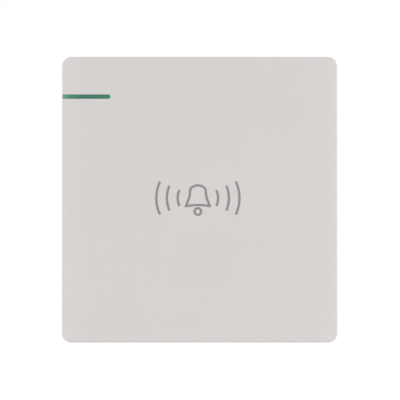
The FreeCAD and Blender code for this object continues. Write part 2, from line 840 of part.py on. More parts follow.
def mechanism_cover():
    plate = rounded_slab(housing_size, housing_size, housing_corner, cover_front, cover_rear)
    plate = round_edges_at(plate, cover_rear, cover_edge)
    extras = [cover_lip(), rod(cup_inner_radius + cup_wall, cup_front, cover_front)]
    cuts = [rod(cup_inner_radius, cup_front - 1, spring_seat)]
    funnel_front = wire_boss_rear - wire_funnel
    for side in sides:
        x = side * terminal_offset
        anvil_x = side * (tip_offset + anvil_width / 2)
        extras.append(block(anvil_x - anvil_width / 2, anvil_x + anvil_width / 2, strip_rear + anvil_gap,
                            cover_front, -anvil_height / 2, anvil_height / 2))
        extras.append(rod(wire_radius + wire_boss_wall, cover_front, wire_boss_rear, x, wire_z))
        cuts.append(rod(wire_radius, cover_front - 1, wire_boss_rear + 1, x, wire_z))
        cuts.append(taper(wire_radius, wire_radius + wire_funnel, funnel_front, wire_boss_rear, x, wire_z))
    cuts += rods(cover_screw_radius + shank_play, cover_front - 1, cover_rear + 1, post_places())
    return joined(plate, extras).cut(cuts)


def plunger():
    """The stem in its guide, the block with the bridge's slot and the two springs' pilots."""
    stem = round_edges_at(rod(plunger_radius, plunger_front, block_front), plunger_front, plunger_dome)
    half_width = block_width / 2
    half_height = block_height / 2
    body = block(-half_width, half_width, block_front, block_rear, -half_height, half_height)
    body = round_along_y(body, block_corner)
    pilot_radius = return_spring_radius - return_spring_wire / 2 - spring_play
    pilot_rear = block_rear + pilot_length
    pilot = round_edges_at(rod(pilot_radius, block_rear, pilot_rear), pilot_rear, pilot_radius / 3)
    slot_half = bridge_width / 2 + slot_play
    slot = block(-block_width, block_width, slot_front, bridge_rear, -slot_half, slot_half)
    stub_radius = contact_spring_radius - contact_spring_wire / 2 - spring_play
    stub = rod(stub_radius, slot_front, slot_front + stub_length)
    return joined(joined(stem, [body, pilot]).cut(slot), [stub])


def contact_bridge():
    half = bridge_width / 2
    bar = block(-bridge_length / 2, bridge_length / 2, bridge_front, bridge_rear, -half, half)
    return round_along_y(bar, bridge_corner)


def tip_places():
    return [(side * tip_offset, 0.0) for side in sides]


def moving_contact_tips():
    tips = rods(tip_radius, bridge_rear, tip_rear, tip_places())
    return [round_edges_at(tip, tip_rear, tip_edge) for tip in tips]


def fixed_contact_tips():
    tips = rods(tip_radius, fixed_tip_front, strip_front, tip_places())
    return [round_edges_at(tip, fixed_tip_front, tip_edge) for tip in tips]


def fixed_contact(side):
    """The brass strip from under a contact tip down to the front of its terminal cage."""
    inner = tip_offset - tip_radius - strip_margin
    outer = terminal_offset + strip_leg_width / 2
    half = strip_width / 2
    foot = cage_bottom + clamp_floor
    head = block(inner, outer, strip_front, strip_rear, -half, half)
    leg = block(outer - strip_leg_width, outer, strip_front, strip_rear, foot, -half)
    strip = round_along_y(joined(head, [leg]), strip_margin)
    return both_sides(strip)[0 if side > 0 else 1]


def terminal_cage(side):
    x = side * terminal_offset
    half = cage_width / 2
    cage = round_along_y(block(x - half, x + half, strip_rear, cage_rear, cage_bottom, cage_top), cage_corner)
    tunnel_half = tunnel_width / 2
    tunnel = block(x - tunnel_half, x + tunnel_half, tunnel_front, cage_rear + 1, tunnel_bottom, tunnel_top)
    thread = rod_z(terminal_screw_radius + thread_fit, cage_bottom - 1, tunnel_bottom + 1, x, terminal_y)
    return cage.cut([tunnel, thread])


def terminal_clamps():
    half = tunnel_width / 2 - clamp_play
    y0 = tunnel_front + clamp_play
    y1 = cage_rear - 2 * clamp_play
    clamps = []
    for side in sides:
        x = side * terminal_offset
        clamps.append(block(x - half, x + half, y0, y1, tunnel_bottom, clamp_top))
    return clamps


def terminal_screws():
    """Two slotted screws that press the clamps up against the wires."""
    screws = []
    slot_half = terminal_head_radius * slot_share / 2
    slot_top = terminal_head_bottom + terminal_head_height / 2
    for side in sides:
        x = side * terminal_offset
        shank = rod_z(terminal_screw_radius, terminal_head_top, tunnel_bottom, x, terminal_y)
        head = rod_z(terminal_head_radius, terminal_head_bottom, terminal_head_top, x, terminal_y)
        rim = [edge for edge in head.Edges if edge.BoundBox.ZMax < terminal_head_bottom + 1e-4]
        head = head.makeFillet(terminal_head_height / 4, rim)
        slot = block(x - terminal_head_radius, x + terminal_head_radius, terminal_y - slot_half,
                     terminal_y + slot_half, terminal_head_bottom - 1, slot_top)
        screws.append(joined(shank, [head]).cut(slot))
    return screws


def led_board():
    board = block(lamp_box_x0, board_x1, board_front, board_rear, board_z0, board_z1)
    hole_radius = board_screw_radius + shank_play / 2
    return board.cut(rods(hole_radius, board_front - 1, board_rear + 1, board_screw_places()))


def light_box():
    """The white reflector round the lamps, open at its front and back."""
    half = lamp_box_height / 2
    box = block(lamp_box_x0, lamp_box_x1, lamp_box_front, board_front, bar_z - half, bar_z + half)
    inner = half - lamp_box_wall
    hollow = block(lamp_box_x0 + lamp_box_wall, lamp_box_x1 - lamp_box_wall, lamp_box_front - 1,
                   board_front + 1, bar_z - inner, bar_z + inner)
    return box.cut(hollow)


def green_leds():
    x0 = lamp_box_x0 + lamp_box_wall + led_length
    x1 = lamp_box_x1 - lamp_box_wall - led_length
    lamps = []
    for index in range(led_count):
        x = x0 + (x1 - x0) * index / (led_count - 1)
        lamps.append(block(x - led_length / 2, x + led_length / 2, board_front - led_height, board_front,
                           bar_z - led_width / 2, bar_z + led_width / 2))
    return lamps


def board_chip(size, z0):
    """A small part soldered on the board between its two screws, with its lower edge at z0."""
    length, height, width = size
    x0 = (board_screw_x0 + board_screw_x1 - length) / 2
    return block(x0, x0 + length, board_front - height, board_front, z0, z0 + width)


def led_resistor():
    return board_chip(resistor_size, bar_z - lamp_box_height / 2 - chip_gap - resistor_size[2])


def rectifier_diode():
    return board_chip(diode_size, board_z0 + chip_gap)


def led_lead(index):
    """A lead from the board over the housing's front, through its wall and to a contact strip."""
    entry_x, entry_z = lead_entries()[index]
    start_x = board_x1 - lead_radius - screw_end_play - (1 - index) * lead_spacing / 2
    start_z = board_screw_z + index * lead_spacing / 2
    turn_z = board_z0 - (1 - index) * lead_spacing
    over_y = board_front - lead_radius
    inside_y = (housing_inner_front + strip_front) / 2
    end_x = sides[index] * (terminal_offset + strip_leg_width / 2 - strip_margin - lead_radius)
    end_z = strip_width / 4
    points = [
        Vector(start_x, over_y, start_z),
        Vector(start_x, over_y, turn_z),
        Vector(entry_x, over_y, entry_z),
        Vector(entry_x, inside_y, entry_z),
        Vector(end_x, inside_y, entry_z - 2 * lead_bend),
        Vector(end_x, inside_y, end_z),
        Vector(end_x, strip_front, end_z),
    ]
    return lead(points, lead_radius, lead_bend)


def contact_spring():
    return coil_spring(contact_spring_radius, contact_spring_wire, contact_spring_turns,
                       slot_front, bridge_front)


def return_spring():
    return coil_spring(return_spring_radius, return_spring_wire, return_spring_turns,
                       block_rear, spring_seat)


pieces = {
    "dolly_plate": [dolly_plate()],
    "light_bar": [light_bar()],
    "bell_symbol": bell_symbol(),
    "dolly_bumpers": dolly_bumpers(),
    "surround_frame": [surround_frame()],
    "support_grid": [support_grid()],
    "fixing_screws": fixing_screws(),
    "grid_screws": grid_screws(),
    "mechanism_housing": [mechanism_housing()],
    "mechanism_cover": [mechanism_cover()],
    "cover_screws": cover_screws(),
    "plunger": [plunger()],
    "return_spring": [return_spring()],
    "contact_spring": [contact_spring()],
    "contact_bridge": [contact_bridge()],
    "moving_contact_tips": moving_contact_tips(),
    "fixed_contact_tips": fixed_contact_tips(),
    "fixed_contact_left": [fixed_contact(-1)],
    "fixed_contact_right": [fixed_contact(1)],
    "terminal_cage_left": [terminal_cage(-1)],
    "terminal_cage_right": [terminal_cage(1)],
    "terminal_clamps": terminal_clamps(),
    "terminal_screws": terminal_screws(),
    "led_board": [led_board()],
    "light_box": [light_box()],
    "green_leds": green_leds(),
    "led_resistor": [led_resistor()],
    "rectifier_diode": [rectifier_diode()],
    "board_screws": board_screws(),
    "led_lead_left": [led_lead(0)],
    "led_lead_right": [led_lead(1)],
}

os.makedirs("parts", exist_ok=True)
for name, solids in pieces.items():
    shape = Part.makeCompound(solids) if len(solids) > 1 else solids[0]
    shape.exportStep("parts/" + name + ".step")
    state = "valid" if shape.isValid() else "INVALID"
    print(name, len(shape.Solids), "solids", round(shape.Volume, 3), "mm3", state)
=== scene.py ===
import json
import math

import bmesh
import bpy
from mathutils import Matrix, Vector
from mathutils.geometry import intersect_point_line


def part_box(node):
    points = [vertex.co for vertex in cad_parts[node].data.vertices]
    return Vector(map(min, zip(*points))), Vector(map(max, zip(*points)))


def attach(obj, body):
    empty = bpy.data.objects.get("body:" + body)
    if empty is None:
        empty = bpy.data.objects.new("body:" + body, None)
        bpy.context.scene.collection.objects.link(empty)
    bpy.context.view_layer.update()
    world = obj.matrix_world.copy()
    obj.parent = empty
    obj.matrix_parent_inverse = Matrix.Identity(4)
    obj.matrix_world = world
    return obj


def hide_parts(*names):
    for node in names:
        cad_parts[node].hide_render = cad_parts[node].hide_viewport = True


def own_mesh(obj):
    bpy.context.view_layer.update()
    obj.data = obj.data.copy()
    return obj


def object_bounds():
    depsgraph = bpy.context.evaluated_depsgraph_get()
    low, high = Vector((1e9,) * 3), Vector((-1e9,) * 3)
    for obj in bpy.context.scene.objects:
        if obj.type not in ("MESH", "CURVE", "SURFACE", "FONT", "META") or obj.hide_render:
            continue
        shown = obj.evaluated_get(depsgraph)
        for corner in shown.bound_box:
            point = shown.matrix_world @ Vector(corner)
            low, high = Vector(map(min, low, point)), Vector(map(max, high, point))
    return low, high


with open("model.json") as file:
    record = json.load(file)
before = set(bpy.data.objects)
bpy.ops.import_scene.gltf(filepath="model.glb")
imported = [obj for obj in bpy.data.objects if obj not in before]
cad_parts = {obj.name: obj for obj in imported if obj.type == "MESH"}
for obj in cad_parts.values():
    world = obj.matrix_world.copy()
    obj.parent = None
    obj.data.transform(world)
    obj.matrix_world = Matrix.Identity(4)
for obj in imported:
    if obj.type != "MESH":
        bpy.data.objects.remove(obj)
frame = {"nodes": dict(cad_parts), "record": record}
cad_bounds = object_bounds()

# A wall doorbell push with a full-size press plate. Everything is in metres in the frame's
# own axes: X to the right seen from the front, Y into the wall and Z up.

MM = 0.001
nodes = frame["nodes"]

# Camera: the photograph's frame, where the plate's four edges lie in it, and the lens
photo_size = 400
plate_left = 61.94
plate_right = 337.32
plate_top = 56.72
plate_bottom = 342.13
lens = 200.0
sensor = 36.0
camera_drop = 13.8 * MM

# Light: how strong the surroundings are for the surfaces, and the lamps
ambient = 0.4
lamp_distance = 0.75
lamp_size = 0.45
left_lamp_power = 2.34
right_lamp_power = 2.78
top_lamp_power = 0.8
rear_lamp_power = 1.4

# Painted light at the plate's two side edges: how much paler its plastic is painted there, and how late that
# sets in
painted_side_light = 1.035
painted_side_light_onset = 1.5

# Floor below the hung plate
floor_drop = 100 * MM
floor_radius = 0.5
floor_fade = 0.3
floor_grey = 0.86

# How far moulding, stamping and machining ease a sharp edge, in how many steps
moulded_edge = 0.12 * MM
plate_rim_edge = 0.08 * MM
stamped_edge = 0.09 * MM
machined_edge = 0.12 * MM
board_edge = 0.05 * MM
easing_steps = 2

# Which edges are eased: how far one turns to be sharp, the cosines at which a run goes on
# straight and another edge lies opposite, and the widths of room, alone and beside an eased edge
sharp_turn = math.radians(32)
straight_on = 0.8
opposite = -0.3
own_room = 1.1
shared_room = 2.2

# Slivers that an easing can leave: how short they are in widths, and how far they fold back
sliver_share = 1.5
fold_turn = math.radians(170)

# Points this close are one point, in a node's mesh and in a new one
node_merge = 0.003 * MM
new_merge = 0.001 * MM

# The largest turn, in degrees, that is still shaded smooth on a block and on a tube
block_shading = 40
tube_shading = 60

# How far from an edge metal is worn bright, partly a painted highlight, and from a corner plastic gets
# painted shade, how strongly each shows, and how bright or dark it gets
edge_wear_sheen_reach = 0.25 * MM
edge_wear_sheen_share = 0.5
edge_wear_sheen_tone = 1.25
corner_shade_reach = 0.8 * MM
corner_shade_share = 0.25
corner_shade_tone = 0.6

# Screws: columns round a shank, rings along each turn of thread, and the shape of a head
screw_columns = 32
thread_rings = 12
head_rounding = 0.45
head_steps = 5
point_share = 0.35
recess_arm = 0.62
recess_half = 0.13
recess_taper = 0.6
recess_depth = 0.6

# How far, in degrees, the first screw of a set is turned, and each next one further
first_turn = 12
next_turn = 37

# Each kind of screw, where its node's box doesn't give a size
fixing_screw = dict(head_radius=3.3 * MM, head_height=2.0 * MM, radius=1.75 * MM, length=25.0 * MM,
                    pitch=0.6 * MM, depth=0.33 * MM, bare=1.2 * MM)
grid_screw = dict(head_radius=2.1 * MM, head_height=1.5 * MM, radius=1.1 * MM, length=7.0 * MM,
                  pitch=0.8 * MM, depth=0.3 * MM)
cover_screw = dict(head_radius=2.0 * MM, head_height=1.3 * MM, radius=1.1 * MM, length=8.0 * MM,
                   pitch=0.8 * MM, depth=0.3 * MM)
board_screw = dict(head_radius=1.35 * MM, head_height=0.9 * MM, radius=0.8 * MM,
                   pitch=0.5 * MM, depth=0.2 * MM)
terminal_screw = dict(head_height=2.0 * MM, radius=1.5 * MM, pitch=0.5 * MM, depth=0.28 * MM)

# Springs: points round each turn, and the closed turns at each end
coil_points = 24
closed_turns = 1.0
return_spring_turns = 6
return_spring_wire = 0.45 * MM
contact_spring_turns = 5
contact_spring_wire = 0.35 * MM

# Indicator board: the leads' ends on it and on the contact strips, pads, solder and tracks
red_lead_end = (-26.15 * MM, 27.95 * MM)
black_lead_end = (-24.85 * MM, 29.25 * MM)
strip_joint_x = 15.35 * MM
strip_joint_z = 1.25 * MM
lead_radius = 0.45 * MM
wire_radius = 0.2 * MM
wire_lie = 0.15 * MM
pad_radius = 0.72 * MM
pad_thickness = 0.06 * MM
drop_radius = 0.6 * MM
drop_height = 0.3 * MM
solder_run = 0.3 * MM
solder_fall = 0.75
solder_rounding = 0.1
solder_rise_share = 0.7
solder_width_share = 0.85
track_width = 0.5 * MM
track_height = 0.035 * MM

# Chip lamps, and how far the metal caps of a chip stand proud of what is between them
lamp_length = 2.0 * MM
lamp_base_height = 0.3 * MM
lamp_cap_height = 0.32 * MM
lamp_cap = 0.33 * MM
lens_half_length = 0.65 * MM
lens_half_width = 0.58 * MM
lens_foot = 0.28 * MM
cap_proud = 0.02 * MM

# Resistor: its caps, and its coat's thickness and side gap. Diode: its feet and its band.
resistor_cap = 0.48 * MM
coat_end = 0.5 * MM
coat_thickness = 0.1 * MM
coat_lap = 0.06 * MM
coat_side = 0.04 * MM
diode_lift = 0.05 * MM
diode_foot_run = 0.45 * MM
diode_foot_lap = 0.1 * MM
diode_foot_half = 0.42 * MM
diode_foot_thickness = 0.16 * MM
band_start = 0.4
band_end = 0.28
band_half = 0.41

# Marks raised on the rear cover, set out from the two wire entries and the cover's rear face
entry_x = 13.0 * MM
entry_z = -13.8 * MM
cover_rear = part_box("cover_screws")[1].y - cover_screw["head_height"]
mark_rise = 6.0 * MM
mark_size = 4.0 * MM
mark_height = 0.2 * MM
gauge_text_size = 2.6 * MM
gauge_text_rise = 2.4 * MM
gauge_half_stroke = 0.15 * MM
gauge_half_end = 0.8 * MM
gauge_rounding = 0.03 * MM
bared_length = 7.0 * MM


def deselect_all():
    """Leaves nothing selected, in object mode."""
    if bpy.context.object and bpy.context.object.mode != "OBJECT":
        bpy.ops.object.mode_set(mode="OBJECT")
    bpy.ops.object.select_all(action="DESELECT")


def select_only(piece):
    """Leaves one object selected and active, in object mode."""
    deselect_all()
    piece.hide_viewport = False
    piece.select_set(True)
    bpy.context.view_layer.objects.active = piece


def named(name):
    """Names the primitive that was just added, and puts its size and turn into its mesh."""
    piece = bpy.context.object
    piece.name = name
    piece.data.name = name
    bpy.ops.object.transform_apply(location=True, rotation=True, scale=True)
    return piece


def pick(piece, kind, test):
    """In edit mode, selects the faces, edges or verts that pass the test, and nothing else."""
    if bpy.context.object.mode != "EDIT":
        bpy.ops.object.mode_set(mode="EDIT")
    modes = {"verts": "VERT", "edges": "EDGE", "faces": "FACE"}
    bpy.ops.mesh.select_mode(type=modes[kind])
    bpy.ops.mesh.select_all(action="DESELECT")
    cage = bmesh.from_edit_mesh(piece.data)
    for item in getattr(cage, kind):
        if test(item):
            item.select_set(True)
    cage.select_flush_mode()
    bmesh.update_edit_mesh(piece.data)


def leave_edit():
    bpy.ops.object.mode_set(mode="OBJECT")


def merge_points(distance):
    """Goes into edit mode and joins all points of the active piece that lie this close."""
    bpy.ops.object.mode_set(mode="EDIT")
    bpy.ops.mesh.select_all(action="SELECT")
    bpy.ops.mesh.remove_doubles(threshold=distance)


def modified(piece, kind, **settings):
    """Adds a modifier with its settings and applies it."""
    select_only(piece)
    modifier = piece.modifiers.new(kind.lower(), kind)
    for label, value in settings.items():
        setattr(modifier, label, value)
    bpy.ops.object.modifier_apply(modifier=modifier.name)
    return piece


def smoothed(piece, degrees=30.0):
    select_only(piece)
    bpy.ops.object.shade_smooth_by_angle(angle=math.radians(degrees))
    return piece


def evened(piece):
    """Gives flat faces their own straight shading beside rounded edges."""
    return modified(piece, "WEIGHTED_NORMAL", keep_sharp=True, weight=100)


def cut_by(piece, cutter):
    """Cuts the cutter's shape out of the piece and removes the cutter."""
    modified(piece, "BOOLEAN", object=cutter, operation="DIFFERENCE", solver="EXACT")
    bpy.data.objects.remove(cutter, do_unlink=True)
    return piece


def placed_copy(model, name, place, turn=None):
    """A copy of a modelled piece with its own mesh, turned and then moved to its place."""
    piece = bpy.data.objects.new(name, model.data.copy())
    bpy.context.scene.collection.objects.link(piece)
    if turn:
        piece.data.transform(turn)
    piece.data.transform(Matrix.Translation(place))
    return piece


def set_out(model, name, places, turns, *home, finish=None):
    """Copies of a model at their places and turns, on their body, and then no model."""
    for index, place in enumerate(places):
        piece = placed_copy(model, "%s_%d" % (name, index + 1), place, turns[index % len(turns)])
        stands_for(piece, *home, finish=finish)
    bpy.data.objects.remove(model, do_unlink=True)


def tube_along(name, points, radius):
    """A round bar through the points, closed at both ends."""
    curve = bpy.data.curves.new(name, "CURVE")
    curve.dimensions = "3D"
    curve.bevel_depth = radius
    curve.bevel_resolution = 4
    curve.use_fill_caps = True
    spline = curve.splines.new("POLY")
    spline.points.add(len(points) - 1)
    for spot, point in zip(spline.points, points):
        spot.co = (*point, 1.0)
    tube = bpy.data.objects.new(name, curve)
    bpy.context.scene.collection.objects.link(tube)
    select_only(tube)
    bpy.ops.object.convert(target="MESH")
    merge_points(new_merge)
    leave_edit()
    return smoothed(bpy.context.object, tube_shading)


def stands_for(piece, body, slot, *replaced, finish=None):
    """Hangs the piece on its body, gives it its finish and hides the nodes that it replaces."""
    piece.data.materials.clear()
    piece.data.materials.append(finishes[finish or slot])
    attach(piece, body)
    if replaced:
        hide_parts(*replaced)
    return piece


# Shader nodes
def connect(tree, value, socket):
    if isinstance(value, bpy.types.NodeSocket):
        tree.links.new(value, socket)
    else:
        socket.default_value = value


def add(tree, kind, feeds=None, **settings):
    """A node with its settings. Feeds gives an input's value, or the socket linked to it."""
    node = tree.nodes.new(kind)
    for label, value in settings.items():
        setattr(node, label, value)
    for label, value in (feeds or {}).items():
        connect(tree, value, node.inputs[label])
    return node


def calculate(tree, operation, first, second=0.0, clamp=False):
    node = add(tree, "ShaderNodeMath", {0: first, 1: second}, operation=operation, use_clamp=clamp)
    return node.outputs[0]


def spread(tree, value, low, high, start=0.0, end=1.0):
    """Maps a value from its start and end to low and high."""
    feeds = {"Value": value, "From Min": start, "From Max": end, "To Min": low, "To Max": high}
    return add(tree, "ShaderNodeMapRange", feeds).outputs[0]


def mixed(tree, share, first, second, how="MIX"):
    """A mix of two colours."""
    node = add(tree, "ShaderNodeMix", data_type="RGBA", blend_type=how)
    connect(tree, share, node.inputs[0])
    connect(tree, first, node.inputs[6])
    connect(tree, second, node.inputs[7])
    return node.outputs[2]


def opaque(colour):
    return (*colour, 1.0)


def new_group(name, inputs, outputs):
    """A shader node group with named number inputs, and outputs given as name and kind."""
    group = bpy.data.node_groups.new(name, "ShaderNodeTree")
    for label, value in inputs.items():
        socket = group.interface.new_socket(label, in_out="INPUT", socket_type="NodeSocketFloat")
        socket.default_value = value
    for label in outputs:
        group.interface.new_socket(label, in_out="OUTPUT", socket_type="NodeSocketFloat")
    return group, add(group, "NodeGroupInput"), add(group, "NodeGroupOutput")


def millimetres(tree):
    """The place on the piece, in millimetres."""
    place = add(tree, "ShaderNodeTexCoord").outputs["Object"]
    scaled = add(tree, "ShaderNodeVectorMath", {0: place, "Scale": 1 / MM}, operation="SCALE")
    return scaled.outputs[0]


def moulded_grain_group():
    """The fine texture of a moulded surface, and its slow unevenness where the plastic flowed."""
    group, start, end = new_group("moulded_grain", {"Grain": 0.2, "Depth": 0.004}, ["Height", "Flow"])
    place = millimetres(group)
    fineness = calculate(group, "DIVIDE", 1.0, start.outputs["Grain"])
    fine = add(group, "ShaderNodeTexNoise", {"Vector": place, "Scale": fineness, "Detail": 2.0})
    coarse = add(group, "ShaderNodeTexNoise", {"Vector": place, "Scale": 0.05, "Detail": 2.0})
    centred = calculate(group, "SUBTRACT", fine.outputs[0], 0.5)
    height = calculate(group, "MULTIPLY", centred, start.outputs["Depth"])
    connect(group, height, end.inputs["Height"])
    connect(group, spread(group, coarse.outputs[0], 0.0, 1.0, 0.3, 0.7), end.inputs["Flow"])
    return group


def metal_marks_group():
    """Lines left on metal by rolling, drawing or cutting, and slower stains."""
    inputs = {"Lines X": 1.0, "Lines Y": 1.0, "Lines Z": 1.0, "Depth": 0.002}
    group, start, end = new_group("metal_marks", inputs, ["Height", "Lines", "Stains"])
    place = millimetres(group)
    along = add(group, "ShaderNodeCombineXYZ", {axis: start.outputs[axis] for axis in range(3)})
    drawn = add(group, "ShaderNodeVectorMath", {0: place, 1: along.outputs[0]}, operation="MULTIPLY")
    lines = add(group, "ShaderNodeTexNoise", {"Vector": drawn.outputs[0], "Scale": 1.0, "Detail": 4.0})
    stains = add(group, "ShaderNodeTexNoise", {"Vector": place, "Scale": 0.35, "Detail": 4.0})
    height = calculate(group, "MULTIPLY", lines.outputs[0], start.outputs["Depth"])
    connect(group, height, end.inputs["Height"])
    connect(group, spread(group, lines.outputs[0], 0.0, 1.0, 0.3, 0.7), end.inputs["Lines"])
    connect(group, spread(group, stains.outputs[0], 0.0, 1.0, 0.35, 0.65), end.inputs["Stains"])
    return group


def worn_sheen_edges_shaded_corners_group():
    """Where an edge stands out, for edge wear with a painted highlight, and where a corner is shut in, for
    painted shade, from the piece's own walls nearby.

    A square edge or corner hides half of what is round it, which counts as all.
    """
    reaches = {"Edge Reach": edge_wear_sheen_reach, "Corner Reach": corner_shade_reach}
    group, start, end = new_group("worn_sheen_edges_shaded_corners", reaches, ["Edge", "Corner"])
    for label, inside in (("Edge", True), ("Corner", False)):
        walls = add(group, "ShaderNodeAmbientOcclusion", {"Distance": start.outputs[label + " Reach"]},
                    samples=8, inside=inside, only_local=True)
        near = calculate(group, "SUBTRACT", 1.0, walls.outputs["AO"])
        connect(group, calculate(group, "MULTIPLY", near, 2.0, clamp=True), end.inputs[label])
    return group


moulded_grain = moulded_grain_group()
metal_marks = metal_marks_group()
worn_sheen_edges_shaded_corners = worn_sheen_edges_shaded_corners_group()


def new_finish(name, **constants):
    """A material with its shader, and with the values that are the same all over the surface."""
    material = bpy.data.materials.new(name)
    material.use_nodes = True
    tree = material.node_tree
    shader = tree.nodes["Principled BSDF"]
    for label, value in constants.items():
        shader.inputs[label.replace("_", " ")].default_value = value
    return material, tree, shader


def raise_surface(tree, shader, height, strength=1.0):
    """Bumps the surface by a height in millimetres."""
    bump = add(tree, "ShaderNodeBump", {"Height": height, "Strength": strength, "Distance": MM})
    connect(tree, bump.outputs[0], shader.inputs["Normal"])


def painted_side_light_share(tree, reach):
    """The share of painted light: none over the plate's middle, growing to all at its two side edges."""
    across = add(tree, "ShaderNodeSeparateXYZ", {0: millimetres(tree)}).outputs[0]
    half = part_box("dolly_plate")[1].x / MM
    share = spread(tree, calculate(tree, "ABSOLUTE", across), 0.0, 1.0, half - reach, half)
    return calculate(tree, "POWER", share, painted_side_light_onset)


def moulded_plastic(name, colour, roughness, grain, depth, uneven=0.02, painted_side_light_reach=0.0, **constants):
    """Plastic with the mould's fine grain, a slight flow in its tone, painted shade in its corners and,
    where asked, painted light towards the plate's side edges.
    """
    material, tree, shader = new_finish(name, **constants)
    texture = add(tree, "ShaderNodeGroup", node_tree=moulded_grain)
    texture.inputs["Grain"].default_value = grain
    texture.inputs["Depth"].default_value = depth
    edges = add(tree, "ShaderNodeGroup", node_tree=worn_sheen_edges_shaded_corners)
    darker = opaque([value * (1 - uneven) for value in colour])
    lighter = opaque([min(1.0, value * (1 + uneven)) for value in colour])
    tone = mixed(tree, texture.outputs["Flow"], darker, lighter)
    # painted light: the plastic is painted paler towards the plate's two side edges
    if painted_side_light_reach:
        pale = opaque([value * painted_side_light for value in colour])
        tone = mixed(tree, painted_side_light_share(tree, painted_side_light_reach), tone, pale)
    # painted shade: the colour darkens in corners that the piece's own walls shut in
    painted_shade_share = calculate(tree, "MULTIPLY", edges.outputs["Corner"], corner_shade_share)
    shaded = mixed(tree, painted_shade_share, tone, opaque([value * corner_shade_tone for value in colour]))
    connect(tree, shaded, shader.inputs["Base Color"])
    rough = spread(tree, texture.outputs["Flow"], roughness - 0.03, roughness + 0.03)
    connect(tree, rough, shader.inputs["Roughness"])
    raise_surface(tree, shader, texture.outputs["Height"])
    return material


def worked_metal(name, colour, stain, roughness, lines, depth, **constants):
    """Metal with lines along its working direction, stains, and edges painted brighter, partly wear and
    partly a painted highlight.
    """
    material, tree, shader = new_finish(name, Metallic=1.0, **constants)
    marks = add(tree, "ShaderNodeGroup", node_tree=metal_marks)
    for index, value in enumerate(lines):
        marks.inputs[index].default_value = value
    marks.inputs["Depth"].default_value = depth
    edges = add(tree, "ShaderNodeGroup", node_tree=worn_sheen_edges_shaded_corners)
    tone = mixed(tree, marks.outputs["Stains"], opaque(colour), opaque(stain))
    # edges painted brighter: partly edge wear, partly a painted highlight
    worn_and_lit_share = calculate(tree, "MULTIPLY", edges.outputs["Edge"], edge_wear_sheen_share)
    bright = mixed(tree, worn_and_lit_share, tone, opaque([min(1.0, value * edge_wear_sheen_tone) for value in colour]))
    connect(tree, bright, shader.inputs["Base Color"])
    rough = spread(tree, marks.outputs["Lines"], roughness - 0.06, roughness + 0.08)
    connect(tree, rough, shader.inputs["Roughness"])
    raise_surface(tree, shader, marks.outputs["Height"])
    return material


def galvanised_sheet():
    """Zinc-coated sheet: pale crystals of different brightness, each with its own grain."""
    material, tree, shader = new_finish("galvanised_sheet", Metallic=1.0)
    place = millimetres(tree)
    warp = add(tree, "ShaderNodeTexNoise", {"Vector": place, "Scale": 0.6, "Detail": 3.0})
    shifted = mixed(tree, 0.5, place, warp.outputs["Color"], how="LINEAR_LIGHT")
    crystals = add(tree, "ShaderNodeTexVoronoi", {"Vector": shifted, "Scale": 0.7}, feature="SMOOTH_F1")
    shade = add(tree, "ShaderNodeSeparateColor", {0: crystals.outputs["Color"]}).outputs[0]
    cloud = add(tree, "ShaderNodeTexNoise", {"Vector": place, "Scale": 0.12, "Detail": 3.0})
    share = calculate(tree, "ADD", calculate(tree, "MULTIPLY", shade, 0.5),
                      calculate(tree, "MULTIPLY", cloud.outputs[0], 0.5))
    tone = mixed(tree, share, opaque((0.36, 0.375, 0.385)), opaque((0.50, 0.515, 0.52)))
    connect(tree, tone, shader.inputs["Base Color"])
    connect(tree, spread(tree, share, 0.36, 0.46), shader.inputs["Roughness"])
    fine = add(tree, "ShaderNodeTexNoise", {"Vector": place, "Scale": 7.0, "Detail": 3.0})
    raise_surface(tree, shader, calculate(tree, "MULTIPLY", fine.outputs[0], 0.004))
    return material


def green_guide_painted_light():
    """Clear green plastic with light painted into its colour along the bar: brightest at the plate's edge,
    where it turns down the side.
    """
    material, tree, shader = new_finish("green_guide_painted_light", IOR=1.5)
    across = add(tree, "ShaderNodeSeparateXYZ", {0: millimetres(tree)}).outputs[0]
    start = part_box("light_bar")[0].x / MM
    run = 15.2
    share = spread(tree, across, 0.0, 1.0, start, start + run)
    ramp = add(tree, "ShaderNodeValToRGB", {0: share})
    # painted light: lighter where light enters the bar's end at the plate's edge, darker along the bar
    painted_light_stops = [(0.0, (0.150, 0.368, 0.262)), (0.13, (0.057, 0.252, 0.150)), (0.28, (0.030, 0.192, 0.124)),
             (0.53, (0.022, 0.154, 0.103)), (0.9, (0.036, 0.192, 0.115))]
    for place, colour in painted_light_stops[1:-1]:
        ramp.color_ramp.elements.new(place)
    for element, (place, colour) in zip(ramp.color_ramp.elements, painted_light_stops):
        element.position = place
        element.color = opaque(colour)
    connect(tree, ramp.outputs[0], shader.inputs["Base Color"])
    texture = add(tree, "ShaderNodeGroup", node_tree=moulded_grain)
    texture.inputs["Grain"].default_value = 0.6
    texture.inputs["Depth"].default_value = 0.002
    connect(tree, spread(tree, texture.outputs["Flow"], 0.2, 0.3), shader.inputs["Roughness"])
    raise_surface(tree, shader, texture.outputs["Height"])
    return material


def printed_ink():
    """Grey pad-printed ink, a little uneven in its cover."""
    material, tree, shader = new_finish("printed_ink")
    place = millimetres(tree)
    cover = add(tree, "ShaderNodeTexNoise", {"Vector": place, "Scale": 2.5, "Detail": 4.0})
    share = spread(tree, cover.outputs[0], 0.0, 1.0, 0.35, 0.65)
    tone = mixed(tree, share, opaque((0.245, 0.243, 0.240)), opaque((0.275, 0.273, 0.270)))
    connect(tree, tone, shader.inputs["Base Color"])
    connect(tree, spread(tree, share, 0.45, 0.6), shader.inputs["Roughness"])
    raise_surface(tree, shader, calculate(tree, "MULTIPLY", cover.outputs[0], 0.004))
    return material


